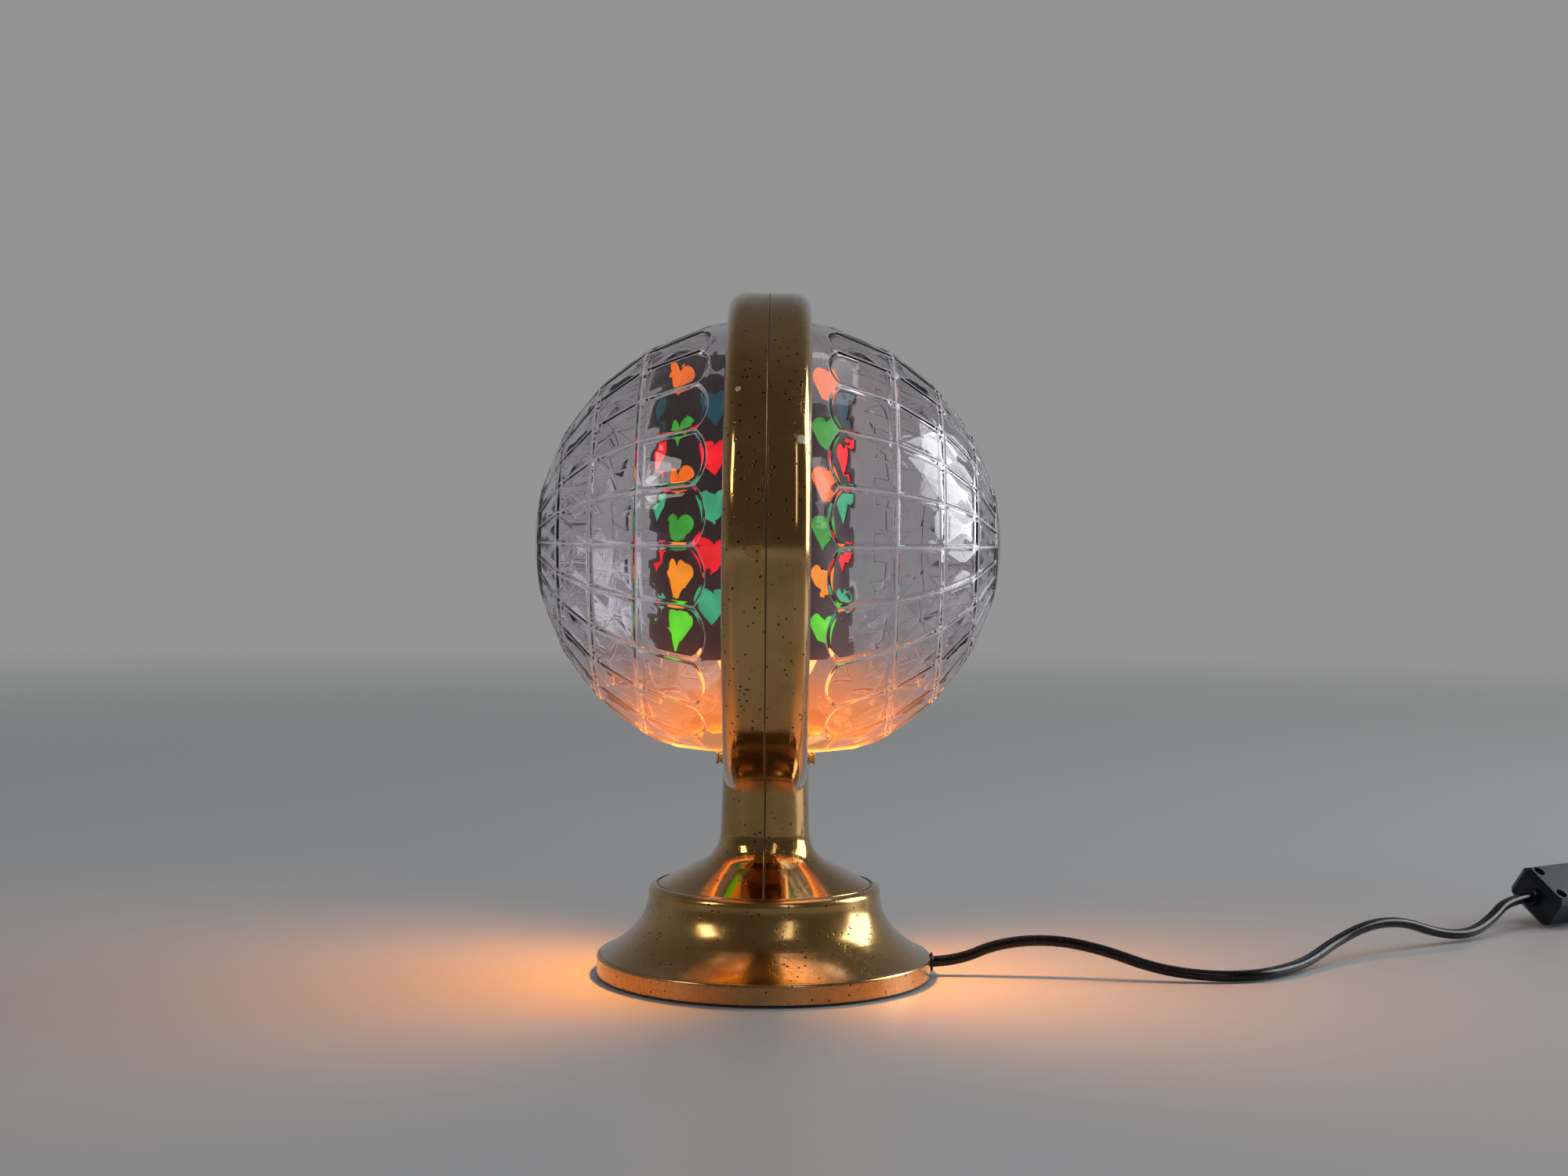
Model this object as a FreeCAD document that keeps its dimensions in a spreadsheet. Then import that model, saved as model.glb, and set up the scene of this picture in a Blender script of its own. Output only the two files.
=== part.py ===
import FreeCAD
import Part
import math
import os
import Sketcher
from FreeCAD import Placement, Rotation, Vector

# Rotating motion lamp, in millimetres.
# The origin is the middle of the base on the table, +Z is up. The ring of the stand lies in the
# plane X = 0, the two clear domes bulge towards -X and +X, and the lead leaves the base at +X.

# Driving dimensions: base

felt_thick = 1.3
felt_inset = 0.8
base_radius = 72.2
base_wall = 2.0
rim_top = 8.2
rim_round = 1.6
flare_radius = 24.0
flare_turn = 45.0
skirt_radius = 45.0
shoulder_round = 3.2
shoulder_rise = 1.3
seat_top = 38.5
seat_wall = 2.2
plate_thick = 1.6
plate_gap = 0.3
post_radius = 4.0
post_circle = 40.0
plate_screw_radius = 1.5
plate_screw_head = 3.0
plate_screw_long = 11.0

# Driving dimensions: stand, one ring on a flared neck, moulded in two halves

ring_bottom = 79.0
ring_radius = 107.2
ring_width = 35.0
ring_corner = 7.5
ring_deep = 11.8
stand_wall = 2.0
foot_radius = 45.8
foot_edge = 1.2
foot_round = 0.7
neck_radius = 19.2
neck_top_radius = 18.1
neck_flare_z = 62.0
neck_flare_radius = 14.0
neck_flare_turn = 62.0
neck_bore = 16.0
web_thick = 2.2
neck_screw_radius = 1.5
neck_screw_head = 2.85
neck_screw_proud = 3.1
neck_screw_bite = 4.6

# Driving dimensions: faceted domes

dome_over = 0.3
dome_wall = 2.7
dome_shift = 4.0
facet_count = 24
facet_step = 15.0
facet_depth = 0.08
dome_gap = 0.1
flange_lap = 5.5
flange_thick = 2.4
flange_gap = 0.2

# Driving dimensions: light

tube_radius = 5.0
tube_bore = 3.5
tube_bottom = 29.0
thread_gap = 0.05
nut_flats = 14.0
nut_thick = 4.5
washer_radius = 9.0
washer_thick = 1.2
holder_radius = 12.5
holder_tall = 37.0
socket_radius = 7.35
collar_radius = 15.6
collar_tall = 9.7
ring_nut_radius = 16.8
ring_nut_tall = 5.0
wire_radius = 1.25
wire_bend = 5.0
needle_long = 27.6
cap_radius = 6.9
cap_tall = 23.8
bulb_radius = 22.5
bulb_rise = 32.0
bulb_neck = 8.6
bulb_wall = 0.8

# Driving dimensions: turning drum

drum_offset = 8.0
drum_wall = 0.45
film_wall = 0.3
film_gap = 0.06
column_pairs = 8
heart_rows = 6
heart_phase = 3.0
hoop_tall = 3.0
hoop_wall = 0.8
blade_count = 12
blade_pitch = 34.0
blade_width = 9.0
blade_thick = 0.5
hub_radius = 8.0
turbine_drop = 3.9
turbine_sheet = 0.6
turbine_rim = 3.4
cup_radius = 2.6
cup_tall = 6.4
needle_radius = 0.9
needle_gap = 0.05
needle_point = 1.8

# Driving dimensions: lead, switch and plug

cord_width = 5.2
cord_z = 6.0
grommet_proud = 0.9
switch_x = 374.5
switch_y = 137.0
switch_z = 14.6
switch_long = 58.0
switch_wide = 27.5
switch_half = 9.0
switch_wall = 2.0
switch_chamfer = 2.7
collar_long = 3.0
rocker_long = 17.4
rocker_wide = 10.4
rocker_gap = 0.4
rocker_axis = 4.6
rocker_pin = 1.1
rocker_tilt = 7.0
switch_screw_head = 2.6
coil_gap = 0.6
coil_eye = 21.3
coil_turns = 3

# Bends of the lead, as shares of the way to the switch across and back, and the rise off the table

lead_bends = [
    (0.2697, -0.0073, 12.0), (0.3311, -0.0219, 14.4), (0.3899, -0.0438, 10.6), (0.4486, -0.062, 3.0),
    (0.5073, -0.073, 0.3), (0.5607, -0.0584, 0.2), (0.6088, 0.0511, 0.2), (0.6489, 0.1971, 0.9),
    (0.6889, 0.3358, 5.6), (0.7397, 0.4416, 11.4), (0.7904, 0.5365, 10.6), (0.8438, 0.635, 2.6),
    (0.8919, 0.7153, 0.3), (0.9319, 0.8285, 4.9)]

tie_thick = 0.7
tie_wide = 3.0
tie_gap = 0.3
plug_long = 36.0
plug_wide = 35.0
plug_thick = 13.6
plug_pin_radius = 2.0
plug_pin_long = 19.0
plug_pin_spread = 18.6

doc = FreeCAD.newDocument("motion_lamp")
sheet = doc.addObject("Spreadsheet::Sheet", "Dimensions")


# A size is a number together with the sheet expression that it comes from

class Size:
    def __init__(self, value, text):
        self.value = value
        self.text = text

    def __float__(self):
        return self.value

    def __neg__(self):
        return Size(-self.value, f"(-{self.text})")

    def __add__(self, other):
        other = as_size(other)
        return Size(self.value + other.value, f"({self.text} + {other.text})")

    def __sub__(self, other):
        other = as_size(other)
        return Size(self.value - other.value, f"({self.text} - {other.text})")

    def __mul__(self, other):
        other = as_size(other)
        return Size(self.value * other.value, f"({self.text} * {other.text})")

    def __truediv__(self, other):
        other = as_size(other)
        return Size(self.value / other.value, f"({self.text} / {other.text})")

    def __radd__(self, other):
        return as_size(other) + self

    def __rsub__(self, other):
        return as_size(other) - self

    def __rmul__(self, other):
        return as_size(other) * self


def as_size(number):
    if isinstance(number, Size):
        return number
    return Size(float(number), f"({float(number)!r})")


def sine(degrees):
    degrees = as_size(degrees)
    return Size(math.sin(math.radians(degrees.value)), f"sin({degrees.text} * 1 deg)")


def cosine(degrees):
    degrees = as_size(degrees)
    return Size(math.cos(math.radians(degrees.value)), f"cos({degrees.text} * 1 deg)")


def root(number):
    return Size(math.sqrt(number.value), f"sqrt({number.text})")


sheet_rows = []


def driving(alias, number):
    sheet_rows.append(alias)
    cell = f"B{len(sheet_rows)}"
    sheet.set(f"A{len(sheet_rows)}", alias.replace("_", " "))
    sheet.set(cell, str(number))
    sheet.setAlias(cell, alias)
    return Size(float(number), f"Dimensions.{alias}")


# Every size above becomes a named cell, and from here on its name stands for that cell

for alias, number in list(globals().items()):
    if isinstance(number, float):
        globals()[alias] = driving(alias, number)


# Sizes that follow from those: the shoulder of the base from the foot that sits in it
shoulder_radius = foot_radius + 4.2
shoulder_top = seat_top + shoulder_rise

# The ring stands on its lowest point, and the domes fit its lip

ring_lip = ring_radius - ring_deep
globe_z = ring_bottom + ring_radius
neck_top = ring_bottom + 19
web_bottom = ring_bottom - 15
neck_screw_z = ring_bottom + 14.9
dome_radius = ring_lip + dome_over
dome_inner = dome_radius - dome_wall
dome_cut = ring_bottom + 21.4

# The tube, holder and bulb hang on the bottom of the ring

tube_top = ring_bottom + 0.9
holder_bottom = ring_bottom - 7
holder_floor = holder_bottom + 12
holder_top = holder_bottom + holder_tall
collar_bottom = holder_bottom + 17
collar_top = collar_bottom + collar_tall
cap_bottom = holder_floor + 3.2
cap_top = cap_bottom + cap_tall
bulb_z = cap_top + bulb_rise

# The drum fills its share of the globe, and its hearts fill the drum

drum_radius = 0.3918 * ring_radius
drum_tall = 1.166 * ring_radius
drum_bottom = globe_z - 0.445 * ring_radius
heart_pitch = drum_tall / 6.1275
heart_first = drum_bottom + 0.593 * heart_pitch
heart_lobe = 0.1838 * heart_pitch
heart_lobe_out = heart_pitch / 6
heart_lobe_up = heart_pitch / 6
heart_tip = 0.3725 * heart_pitch
turbine_z = drum_bottom + drum_tall - turbine_drop
arch_top = turbine_z - needle_long
wire_spread = 0.252 * ring_radius

# Holes and collars leave room for the lead, and the coil lies in turns that just clear

grommet_radius = cord_width / 2 + 0.9
grommet_flange = cord_width / 2 + 1.5
cord_collar = cord_width / 2 + 1.7
coil_pitch = cord_width + coil_gap
coil_middle = coil_pitch * coil_turns / 2 + coil_eye
coil_low = cord_width / 2 + tie_thick + tie_gap + 0.05

doc.recompute()


# Helpers that build features

parts = {}


def bind(feature, prop, length):
    feature.setExpression(prop, as_size(length).text)


def keep(name, feature):
    feature.Label = name
    parts[name] = feature
    return feature


def new_body(name):
    return keep(name, doc.addObject("PartDesign::Body", name))


def origin_feature(body, role):
    return [item for item in body.Origin.OriginFeatures if item.Role == role][0]


def new_sketch(body, name, role):
    sketch = body.newObject("Sketcher::SketchObject", name)
    sketch.AttachmentSupport = [(origin_feature(body, role), "")]
    sketch.MapMode = "FlatFace"
    return sketch


def shift_sketch(sketch, along_x=None, along_y=None, along_normal=None):
    for axis, length in (("x", along_x), ("y", along_y), ("z", along_normal)):
        if length is not None:
            bind(sketch, f"AttachmentOffset.Base.{axis}", length)


def place_point(sketch, limits, bound, geometry, end, x, y):
    # Ties one point to the sketch origin, across and up
    for kind, axis, length in (("DistanceX", -2, as_size(x)), ("DistanceY", -1, as_size(y))):
        if abs(length.value) < 1e-9:
            limits.append(Sketcher.Constraint("PointOnObject", geometry, end, axis))
        else:
            bound.append((len(limits), length))
            limits.append(Sketcher.Constraint(kind, -1, 1, geometry, end, length.value))


def finish_limits(sketch, limits, bound):
    first = sketch.ConstraintCount
    sketch.addConstraint(limits)
    for index, length in bound:
        sketch.setExpression(f"Constraints[{first + index}]", length.text)


def draw_outline(sketch, corners):
    # Each corner is (x, y), or (x, y, radius) when an arc leads to it: plus turns left, minus right
    limits = []
    bound = []
    ends = []
    first = sketch.GeometryCount
    for index, corner in enumerate(corners):
        start = corners[index - 1]
        p = Vector(float(start[0]), float(start[1]), 0)
        q = Vector(float(corner[0]), float(corner[1]), 0)
        if len(corner) == 2:
            sketch.addGeometry(Part.LineSegment(p, q))
            ends.append((1, 2))
            continue
        radius = as_size(corner[2])
        across = q - p
        rise = math.sqrt(radius.value ** 2 - across.Length ** 2 / 4)
        left = Vector(-across.y, across.x, 0).normalize()
        side = 1 if radius.value > 0 else -1
        centre = (p + q) * 0.5 + left * (rise * side)
        angles = [math.atan2((v - centre).y, (v - centre).x) for v in (p, q)]
        ends.append((1, 2) if side > 0 else (2, 1))
        circle = Part.Circle(centre, Vector(0, 0, 1), abs(radius.value))
        sketch.addGeometry(Part.ArcOfCircle(circle, *angles[::side]))
        bound.append((len(limits), radius * side))
        limits.append(Sketcher.Constraint("Radius", first + index, abs(radius.value)))
    for index, corner in enumerate(corners):
        here = first + index
        after = first + (index + 1) % len(corners)
        next_start = ends[(index + 1) % len(corners)][0]
        limits.append(Sketcher.Constraint("Coincident", here, ends[index][1], after, next_start))
        place_point(sketch, limits, bound, here, ends[index][1], corner[0], corner[1])
    finish_limits(sketch, limits, bound)


def draw_circle(sketch, x, y, radius):
    limits = []
    bound = [(0, as_size(radius))]
    circle = Part.Circle(Vector(float(x), float(y), 0), Vector(0, 0, 1), float(radius))
    index = sketch.addGeometry(circle)
    limits.append(Sketcher.Constraint("Radius", index, float(radius)))
    place_point(sketch, limits, bound, index, 3, x, y)
    finish_limits(sketch, limits, bound)


def box_corners(x_low, y_low, x_high, y_high):
    return [(x_low, y_low), (x_high, y_low), (x_high, y_high), (x_low, y_high)]


def revolve(body, name, sketch, axis="V_Axis", angle=360.0, backwards=False):
    kind = "PartDesign::Revolution"
    feature = body.newObject(kind, name)
    feature.Profile = sketch
    feature.ReferenceAxis = (sketch, [axis])
    feature.Angle = angle
    feature.Reversed = backwards
    return feature


def pad(body, name, sketch, length, backwards=False):
    feature = body.newObject("PartDesign::Pad", name)
    feature.Profile = sketch
    bind(feature, "Length", length)
    feature.Reversed = backwards
    return feature


def pocket(body, name, sketch, length, backwards=False):
    doc.recompute()
    before = body.Shape.Volume
    feature = body.newObject("PartDesign::Pocket", name)
    feature.Profile = sketch
    bind(feature, "Length", length)
    feature.Reversed = backwards
    doc.recompute()
    if feature.Shape.Volume >= before - 1e-3:
        raise RuntimeError(f"{name} cuts nothing")
    return feature


def groove(body, name, sketch, axis="V_Axis", angle=360.0, backwards=False):
    doc.recompute()
    before = body.Shape.Volume
    feature = body.newObject("PartDesign::Groove", name)
    feature.Profile = sketch
    feature.ReferenceAxis = (sketch, [axis])
    feature.Angle = angle
    feature.Reversed = backwards
    doc.recompute()
    if feature.Shape.Volume >= before - 1e-3:
        raise RuntimeError(f"{name} cuts nothing")
    return feature


def repeat_round(body, name, feature, count):
    doc.recompute()
    pattern = body.newObject("PartDesign::PolarPattern", name)
    pattern.Originals = [feature]
    pattern.Axis = (origin_feature(body, "Z_Axis"), [""])
    pattern.Angle = 360.0
    pattern.Occurrences = count
    body.Tip = pattern
    return pattern


def turned(name, corners):
    body = new_body(name)
    sketch = new_sketch(body, name + "_profile", "XZ_Plane")
    draw_outline(sketch, corners)
    revolve(body, name + "_turn", sketch)
    return body


def edges_at(feature, test):
    doc.recompute()
    names = []
    for index, edge in enumerate(feature.Shape.Edges):
        if test(edge):
            names.append(f"Edge{index + 1}")
    return names


def chamfer(body, name, feature, names, size):
    cut = body.newObject("PartDesign::Chamfer", name)
    cut.Base = (feature, names)
    bind(cut, "Size", size)
    return cut


def computed(name, shape):
    feature = doc.addObject("Part::Feature", name)
    feature.Shape = shape
    return keep(name, feature)


# Base shell: a moulded bell with a seat for the foot of the stand

def build_base_shell():
    wall = base_wall
    flare_r = shoulder_radius + flare_radius * (1 - cosine(flare_turn))
    shoulder_z = shoulder_top - shoulder_round
    flare_z = shoulder_z - flare_radius * sine(flare_turn)
    inner_flare_r = flare_r - wall * cosine(flare_turn)
    inner_flare_z = flare_z - wall * sine(flare_turn)
    seat_radius = shoulder_radius - shoulder_round
    tube_hole = tube_radius + plate_gap
    outline = [
        (tube_hole, seat_top),
        (tube_hole, seat_top - seat_wall),
        (shoulder_radius - wall, seat_top - seat_wall),
        (inner_flare_r, inner_flare_z, flare_radius + wall),
        (base_radius - wall, rim_top - wall / 2, skirt_radius + wall),
        (base_radius - wall, felt_thick),
        (base_radius, felt_thick),
        (base_radius, rim_top),
        (base_radius - rim_round, rim_top + rim_round, rim_round),
        (flare_r, flare_z, -skirt_radius),
        (shoulder_radius, shoulder_z, -flare_radius),
        (seat_radius, shoulder_top, shoulder_round),
        (seat_radius, seat_top),
    ]
    body = turned("base_shell", outline)
    posts = new_sketch(body, "post_sketch", "XY_Plane")
    shift_sketch(posts, along_normal=felt_thick + plate_thick)
    draw_circle(posts, -post_circle, 0, post_radius)
    post = pad(body, "post", posts, seat_top - seat_wall / 2 - felt_thick - plate_thick)
    repeat_round(body, "posts", post, 3)
    holes = new_sketch(body, "post_hole_sketch", "XY_Plane")
    shift_sketch(holes, along_normal=felt_thick + plate_thick)
    draw_circle(holes, -post_circle, 0, plate_screw_radius)
    hole = pocket(body, "post_hole", holes, plate_screw_long, backwards=True)
    repeat_round(body, "post_holes", hole, 3)
    lead = new_sketch(body, "lead_hole_sketch", "YZ_Plane")
    shift_sketch(lead, along_normal=base_radius - 2 * wall)
    draw_circle(lead, 0, cord_z, grommet_radius)
    pocket(body, "lead_hole", lead, 3 * wall, backwards=True)


def build_base_plate():
    body = new_body("base_plate")
    disc = new_sketch(body, "plate_sketch", "XY_Plane")
    shift_sketch(disc, along_normal=felt_thick)
    draw_circle(disc, 0, 0, base_radius - base_wall - plate_gap)
    pad(body, "plate", disc, plate_thick)
    hole_sketch = new_sketch(body, "plate_hole_sketch", "XY_Plane")
    shift_sketch(hole_sketch, along_normal=felt_thick)
    draw_circle(hole_sketch, -post_circle, 0, plate_screw_head)
    hole = pocket(body, "plate_hole", hole_sketch, plate_thick, backwards=True)
    repeat_round(body, "plate_holes", hole, 3)
    notch = new_sketch(body, "lead_notch_sketch", "XY_Plane")
    shift_sketch(notch, along_normal=felt_thick)
    draw_circle(notch, base_radius - base_wall, 0, grommet_flange + plate_gap)
    pocket(body, "lead_notch", notch, plate_thick, backwards=True)
    felt = keep("base_felt", doc.addObject("Part::Cylinder", "base_felt"))
    bind(felt, "Radius", base_radius - felt_inset)
    bind(felt, "Height", felt_thick)


def build_plate_screws():
    body = new_body("plate_screws")
    body.AllowCompound = True
    sketch = new_sketch(body, "plate_screw_profile", "XZ_Plane")
    shift_sketch(sketch, along_x=-post_circle)
    head = plate_screw_head - plate_gap
    shank = plate_screw_radius - thread_gap
    draw_outline(sketch, [
        (0, felt_thick), (head, felt_thick), (head, felt_thick + plate_thick / 2),
        (shank, felt_thick + plate_thick), (shank, felt_thick + plate_screw_long), (0, felt_thick + plate_screw_long)])
    screw = revolve(body, "plate_screw", sketch)
    repeat_round(body, "plate_screw_set", screw, 3)


# Stand: each half carries half the ring channel, half the neck and half the foot

def build_stand_half(name, side):
    body = new_body(name)
    half = ring_width / 2
    corner = ring_corner
    wall = stand_wall
    inner_corner = ring_corner - stand_wall
    ring = new_sketch(body, name + "_ring_profile", "XZ_Plane")
    shift_sketch(ring, along_y=globe_z)
    turn = side
    draw_outline(ring, [
        (0, ring_radius), (side * (half - corner), ring_radius),
        (side * half, ring_radius - corner, -turn * corner), (side * half, ring_lip),
        (side * (half - wall), ring_lip), (side * (half - wall), ring_radius - corner),
        (side * (half - corner), ring_radius - wall, turn * inner_corner), (0, ring_radius - wall)])
    revolve(body, name + "_ring", ring, axis="H_Axis")

    flare_r = neck_radius + neck_flare_radius * (1 - cosine(neck_flare_turn))
    flare_z = neck_flare_z - neck_flare_radius * sine(neck_flare_turn)
    inner_flare_r = flare_r - wall * cosine(neck_flare_turn)
    inner_flare_z = flare_z - wall * sine(neck_flare_turn)
    edge_top = seat_top + foot_edge
    neck = new_sketch(body, name + "_neck_profile", "YZ_Plane")
    tube_hole = tube_radius + plate_gap
    draw_outline(neck, [
        (foot_radius - 2 * wall, seat_top), (foot_radius, seat_top), (foot_radius, edge_top - foot_round / 2),
        (foot_radius - foot_round, edge_top + foot_round / 2, foot_round),
        (flare_r, flare_z), (neck_radius, neck_flare_z, -neck_flare_radius),
        (neck_top_radius, neck_top), (neck_bore, neck_top), (neck_bore, web_bottom + web_thick),
        (tube_hole, web_bottom + web_thick), (tube_hole, web_bottom), (neck_radius - wall, web_bottom),
        (neck_radius - wall, neck_flare_z), (inner_flare_r, inner_flare_z, neck_flare_radius + wall)])
    revolve(body, name + "_neck", neck, angle=180.0, backwards=side > 0)

    bore = new_sketch(body, name + "_bore_profile", "YZ_Plane")
    draw_outline(bore, box_corners(0, web_bottom + web_thick, neck_bore, neck_top + 1))
    groove(body, name + "_bore", bore, angle=180.0, backwards=side > 0)
    screw = new_sketch(body, name + "_screw_sketch", "YZ_Plane")
    draw_circle(screw, 0, neck_screw_z, neck_screw_radius)
    pocket(body, name + "_screw_hole", screw, ring_width, backwards=side > 0)


def build_neck_screws():
    shank = neck_screw_radius - thread_gap
    waist = (neck_screw_head + shank) / 2
    flange = neck_screw_proud / 4
    start = neck_top_radius + 0.05
    outer = start + neck_screw_proud
    inner = start - neck_screw_bite
    body = new_body("neck_screws")
    body.AllowCompound = True
    sketch = new_sketch(body, "neck_screw_profile", "XZ_Plane")
    shift_sketch(sketch, along_y=neck_screw_z)
    draw_outline(sketch, [
        (inner, 0), (outer, 0), (outer, neck_screw_head), (outer - flange, neck_screw_head),
        (outer - 1.5 * flange, waist), (start + flange, waist), (start + flange, neck_screw_head),
        (start + 0.2, neck_screw_head), (start + 0.2, shank), (inner, shank)])
    screw = revolve(body, "neck_screw", sketch, axis="H_Axis")
    repeat_round(body, "neck_screw_pair", screw, 2)


# Domes: a sphere cut flat by a stack of polygon frusta, so that every ridge lies on the sphere

def build_domes():
    ridge = dome_radius - facet_depth
    across_x = Rotation(Vector(0, 1, 0), 90)
    ball = doc.addObject("Part::Sphere", "dome_ball")
    bind(ball, "Radius", dome_radius)
    bind(ball, "Placement.Base.x", -dome_shift)
    bind(ball, "Placement.Base.z", globe_z)

    # The first row of facets runs on past the sphere towards the ring, where it ends in round arcs
    near_x = ridge * cosine(5 * facet_step)
    near_r = ridge * sine(5 * facet_step)
    far_x = ridge * cosine(4 * facet_step)
    far_r = ridge * sine(4 * facet_step)
    slope = (near_r - far_r) / (far_x - near_x)
    stations = [(-dome_gap, near_r + slope * (near_x + dome_shift - dome_gap))]
    for row in (4, 3, 2, 1):
        x = dome_shift + ridge * cosine(row * facet_step)
        stations.append((-x, ridge * sine(row * facet_step)))
    stations.append((-(dome_shift + dome_radius + 1), ridge * sine(facet_step)))
    rings = []
    for index, (x, radius) in enumerate(stations):
        ring = doc.addObject("Part::RegularPolygon", f"facet_ring_{index + 1}")
        ring.Polygon = facet_count
        bind(ring, "Circumradius", radius)
        ring.Placement = Placement(Vector(0, 0, 0), across_x)
        bind(ring, "Placement.Base.x", x)
        bind(ring, "Placement.Base.z", globe_z)
        rings.append(ring)
    stack = doc.addObject("Part::Loft", "facet_stack")
    stack.Sections = rings
    stack.Solid = True
    stack.Ruled = True
    faceted = doc.addObject("Part::Common", "dome_outside")
    faceted.Base = ball
    faceted.Tool = stack

    flange_radius = ring_lip + flange_lap
    flange = doc.addObject("Part::Cylinder", "dome_flange")
    bind(flange, "Radius", flange_radius)
    bind(flange, "Height", flange_thick)
    flange.Placement = Placement(Vector(0, 0, 0), across_x)
    bind(flange, "Placement.Base.x", -(ring_width / 2 - stand_wall - flange_gap))
    bind(flange, "Placement.Base.z", globe_z)
    solid = doc.addObject("Part::Fuse", "dome_solid")
    solid.Base = faceted
    solid.Tool = flange
    hollow = doc.addObject("Part::Sphere", "dome_hollow")
    bind(hollow, "Radius", dome_inner)
    bind(hollow, "Placement.Base.x", -dome_shift)
    bind(hollow, "Placement.Base.z", globe_z)
    shell = doc.addObject("Part::Cut", "dome_shell")
    shell.Base = solid
    shell.Tool = hollow
    mouth = doc.addObject("Part::Box", "dome_mouth")
    side = dome_radius + dome_shift + 5
    bind(mouth, "Length", 2 * side)
    bind(mouth, "Width", 2 * flange_radius + 2)
    bind(mouth, "Height", dome_cut)
    bind(mouth, "Placement.Base.x", -side)
    bind(mouth, "Placement.Base.y", -flange_radius - 1)
    left = keep("dome_left", doc.addObject("Part::Cut", "dome_left"))
    left.Base = shell
    left.Tool = mouth
    right = keep("dome_right", doc.addObject("Part::Mirroring", "dome_right"))
    right.Source = left
    right.Normal = Vector(1, 0, 0)
    right.Base = Vector(0, 0, 0)


# Light: threaded tube, holder, bulb and the wire arch that carries the needle

def build_tube():
    body = turned("threaded_tube", [
        (tube_bore, tube_bottom), (tube_radius, tube_bottom), (tube_radius, tube_top), (tube_bore, tube_top)])
    nuts = new_body("tube_nuts")
    nuts.AllowCompound = True
    lower = seat_top - seat_wall - washer_thick - nut_thick
    upper = web_bottom + web_thick
    for label, height in (("lower", lower), ("upper", upper)):
        sketch = new_sketch(nuts, f"{label}_nut_sketch", "XY_Plane")
        shift_sketch(sketch, along_normal=height)
        corner = nut_flats / 2 / cosine(30)
        draw_outline(sketch, [
            (corner * cosine(60 * step), corner * sine(60 * step)) for step in range(6)])
        draw_circle(sketch, 0, 0, tube_radius + thread_gap)
        pad(nuts, f"{label}_nut", sketch, nut_thick)
    washer_low = seat_top - seat_wall - washer_thick
    turned("tube_washer", [
        (tube_radius + plate_gap, washer_low), (washer_radius, washer_low),
        (washer_radius, seat_top - seat_wall), (tube_radius + plate_gap, seat_top - seat_wall)])
    return body


def build_holder():
    hole = tube_radius + thread_gap
    turned("lamp_holder", [
        (hole, holder_bottom), (holder_radius - 1.5, holder_bottom), (holder_radius, holder_bottom + 1.5),
        (holder_radius, collar_bottom), (collar_radius, collar_bottom), (collar_radius, collar_top),
        (holder_radius, collar_top), (holder_radius, holder_top), (socket_radius, holder_top),
        (socket_radius, holder_floor), (tube_bore, holder_floor), (tube_bore, tube_top),
        (hole, tube_top)])
    body = parts["lamp_holder"]
    screw_holes = new_sketch(body, "holder_screw_sketch", "YZ_Plane")
    shift_sketch(screw_holes, along_normal=holder_radius + 0.5)
    draw_circle(screw_holes, 0, neck_screw_z, neck_screw_radius)
    hole_cut = pocket(body, "holder_screw_hole", screw_holes, collar_radius, backwards=True)
    repeat_round(body, "holder_screw_holes", hole_cut, 2)
    feet_top = collar_top + 2 * wire_radius + 0.1
    turned("holder_ring", [
        (holder_radius + 0.15, feet_top), (ring_nut_radius, feet_top), (ring_nut_radius, feet_top + ring_nut_tall - 1),
        (ring_nut_radius - 1, feet_top + ring_nut_tall), (holder_radius + 0.15, feet_top + ring_nut_tall)])
    turned("holder_contact", [
        (0, holder_floor), (socket_radius - 1.2, holder_floor), (socket_radius - 1.2, holder_floor + 1),
        (2.4, holder_floor + 1.4), (1.6, cap_bottom - 0.1), (0, cap_bottom - 0.1)])


def build_bulb():
    shell_low = cap_bottom + 3.4
    turned("bulb_cap", [
        (0, cap_bottom), (2.2, cap_bottom), (2.6, cap_bottom + 1.2), (cap_radius - 1, shell_low),
        (cap_radius, shell_low + 1), (cap_radius, cap_top), (cap_radius - 0.5, cap_top),
        (cap_radius - 0.5, shell_low + 2.4), (0, shell_low + 2.4)])
    neck_z = bulb_z - root(bulb_radius * bulb_radius - bulb_neck * bulb_neck) - 5
    belly = 36
    belly_r = bulb_radius * cosine(belly)
    belly_z = bulb_z - bulb_radius * sine(belly)
    inner = bulb_radius - bulb_wall
    inner_belly_r = inner * cosine(belly)
    inner_belly_z = bulb_z - inner * sine(belly)
    shoulder = 22.0
    glass = [
        (cap_radius - 0.6 - bulb_wall, cap_top - 6), (cap_radius - 0.6, cap_top - 6), (cap_radius - 0.6, cap_top + 0.5),
        (bulb_neck, neck_z), (belly_r, belly_z, -shoulder), (0, bulb_z + bulb_radius, 2 * bulb_radius),
    ]
    body = new_body("bulb_glass")
    sketch = new_sketch(body, "bulb_profile", "XZ_Plane")
    glass[-1] = (bulb_radius, bulb_z, bulb_radius)
    glass.append((0, bulb_z + bulb_radius, bulb_radius))
    glass.append((0, bulb_z + inner))
    glass.append((inner, bulb_z, -inner))
    glass.append((inner_belly_r, inner_belly_z, -inner))
    glass.append((bulb_neck - bulb_wall, neck_z, shoulder + bulb_wall))
    glass.append((cap_radius - 0.6 - bulb_wall, cap_top + 0.7))
    draw_outline(sketch, glass)
    revolve(body, "bulb_turn", sketch)

    foot = shell_low + 2.4
    turned("bulb_stem", [
        (0, foot), (3.4, foot), (3.0, cap_top + 6), (1.1, cap_top + 10), (1.1, bulb_z - 8), (0, bulb_z - 8)])


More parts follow.
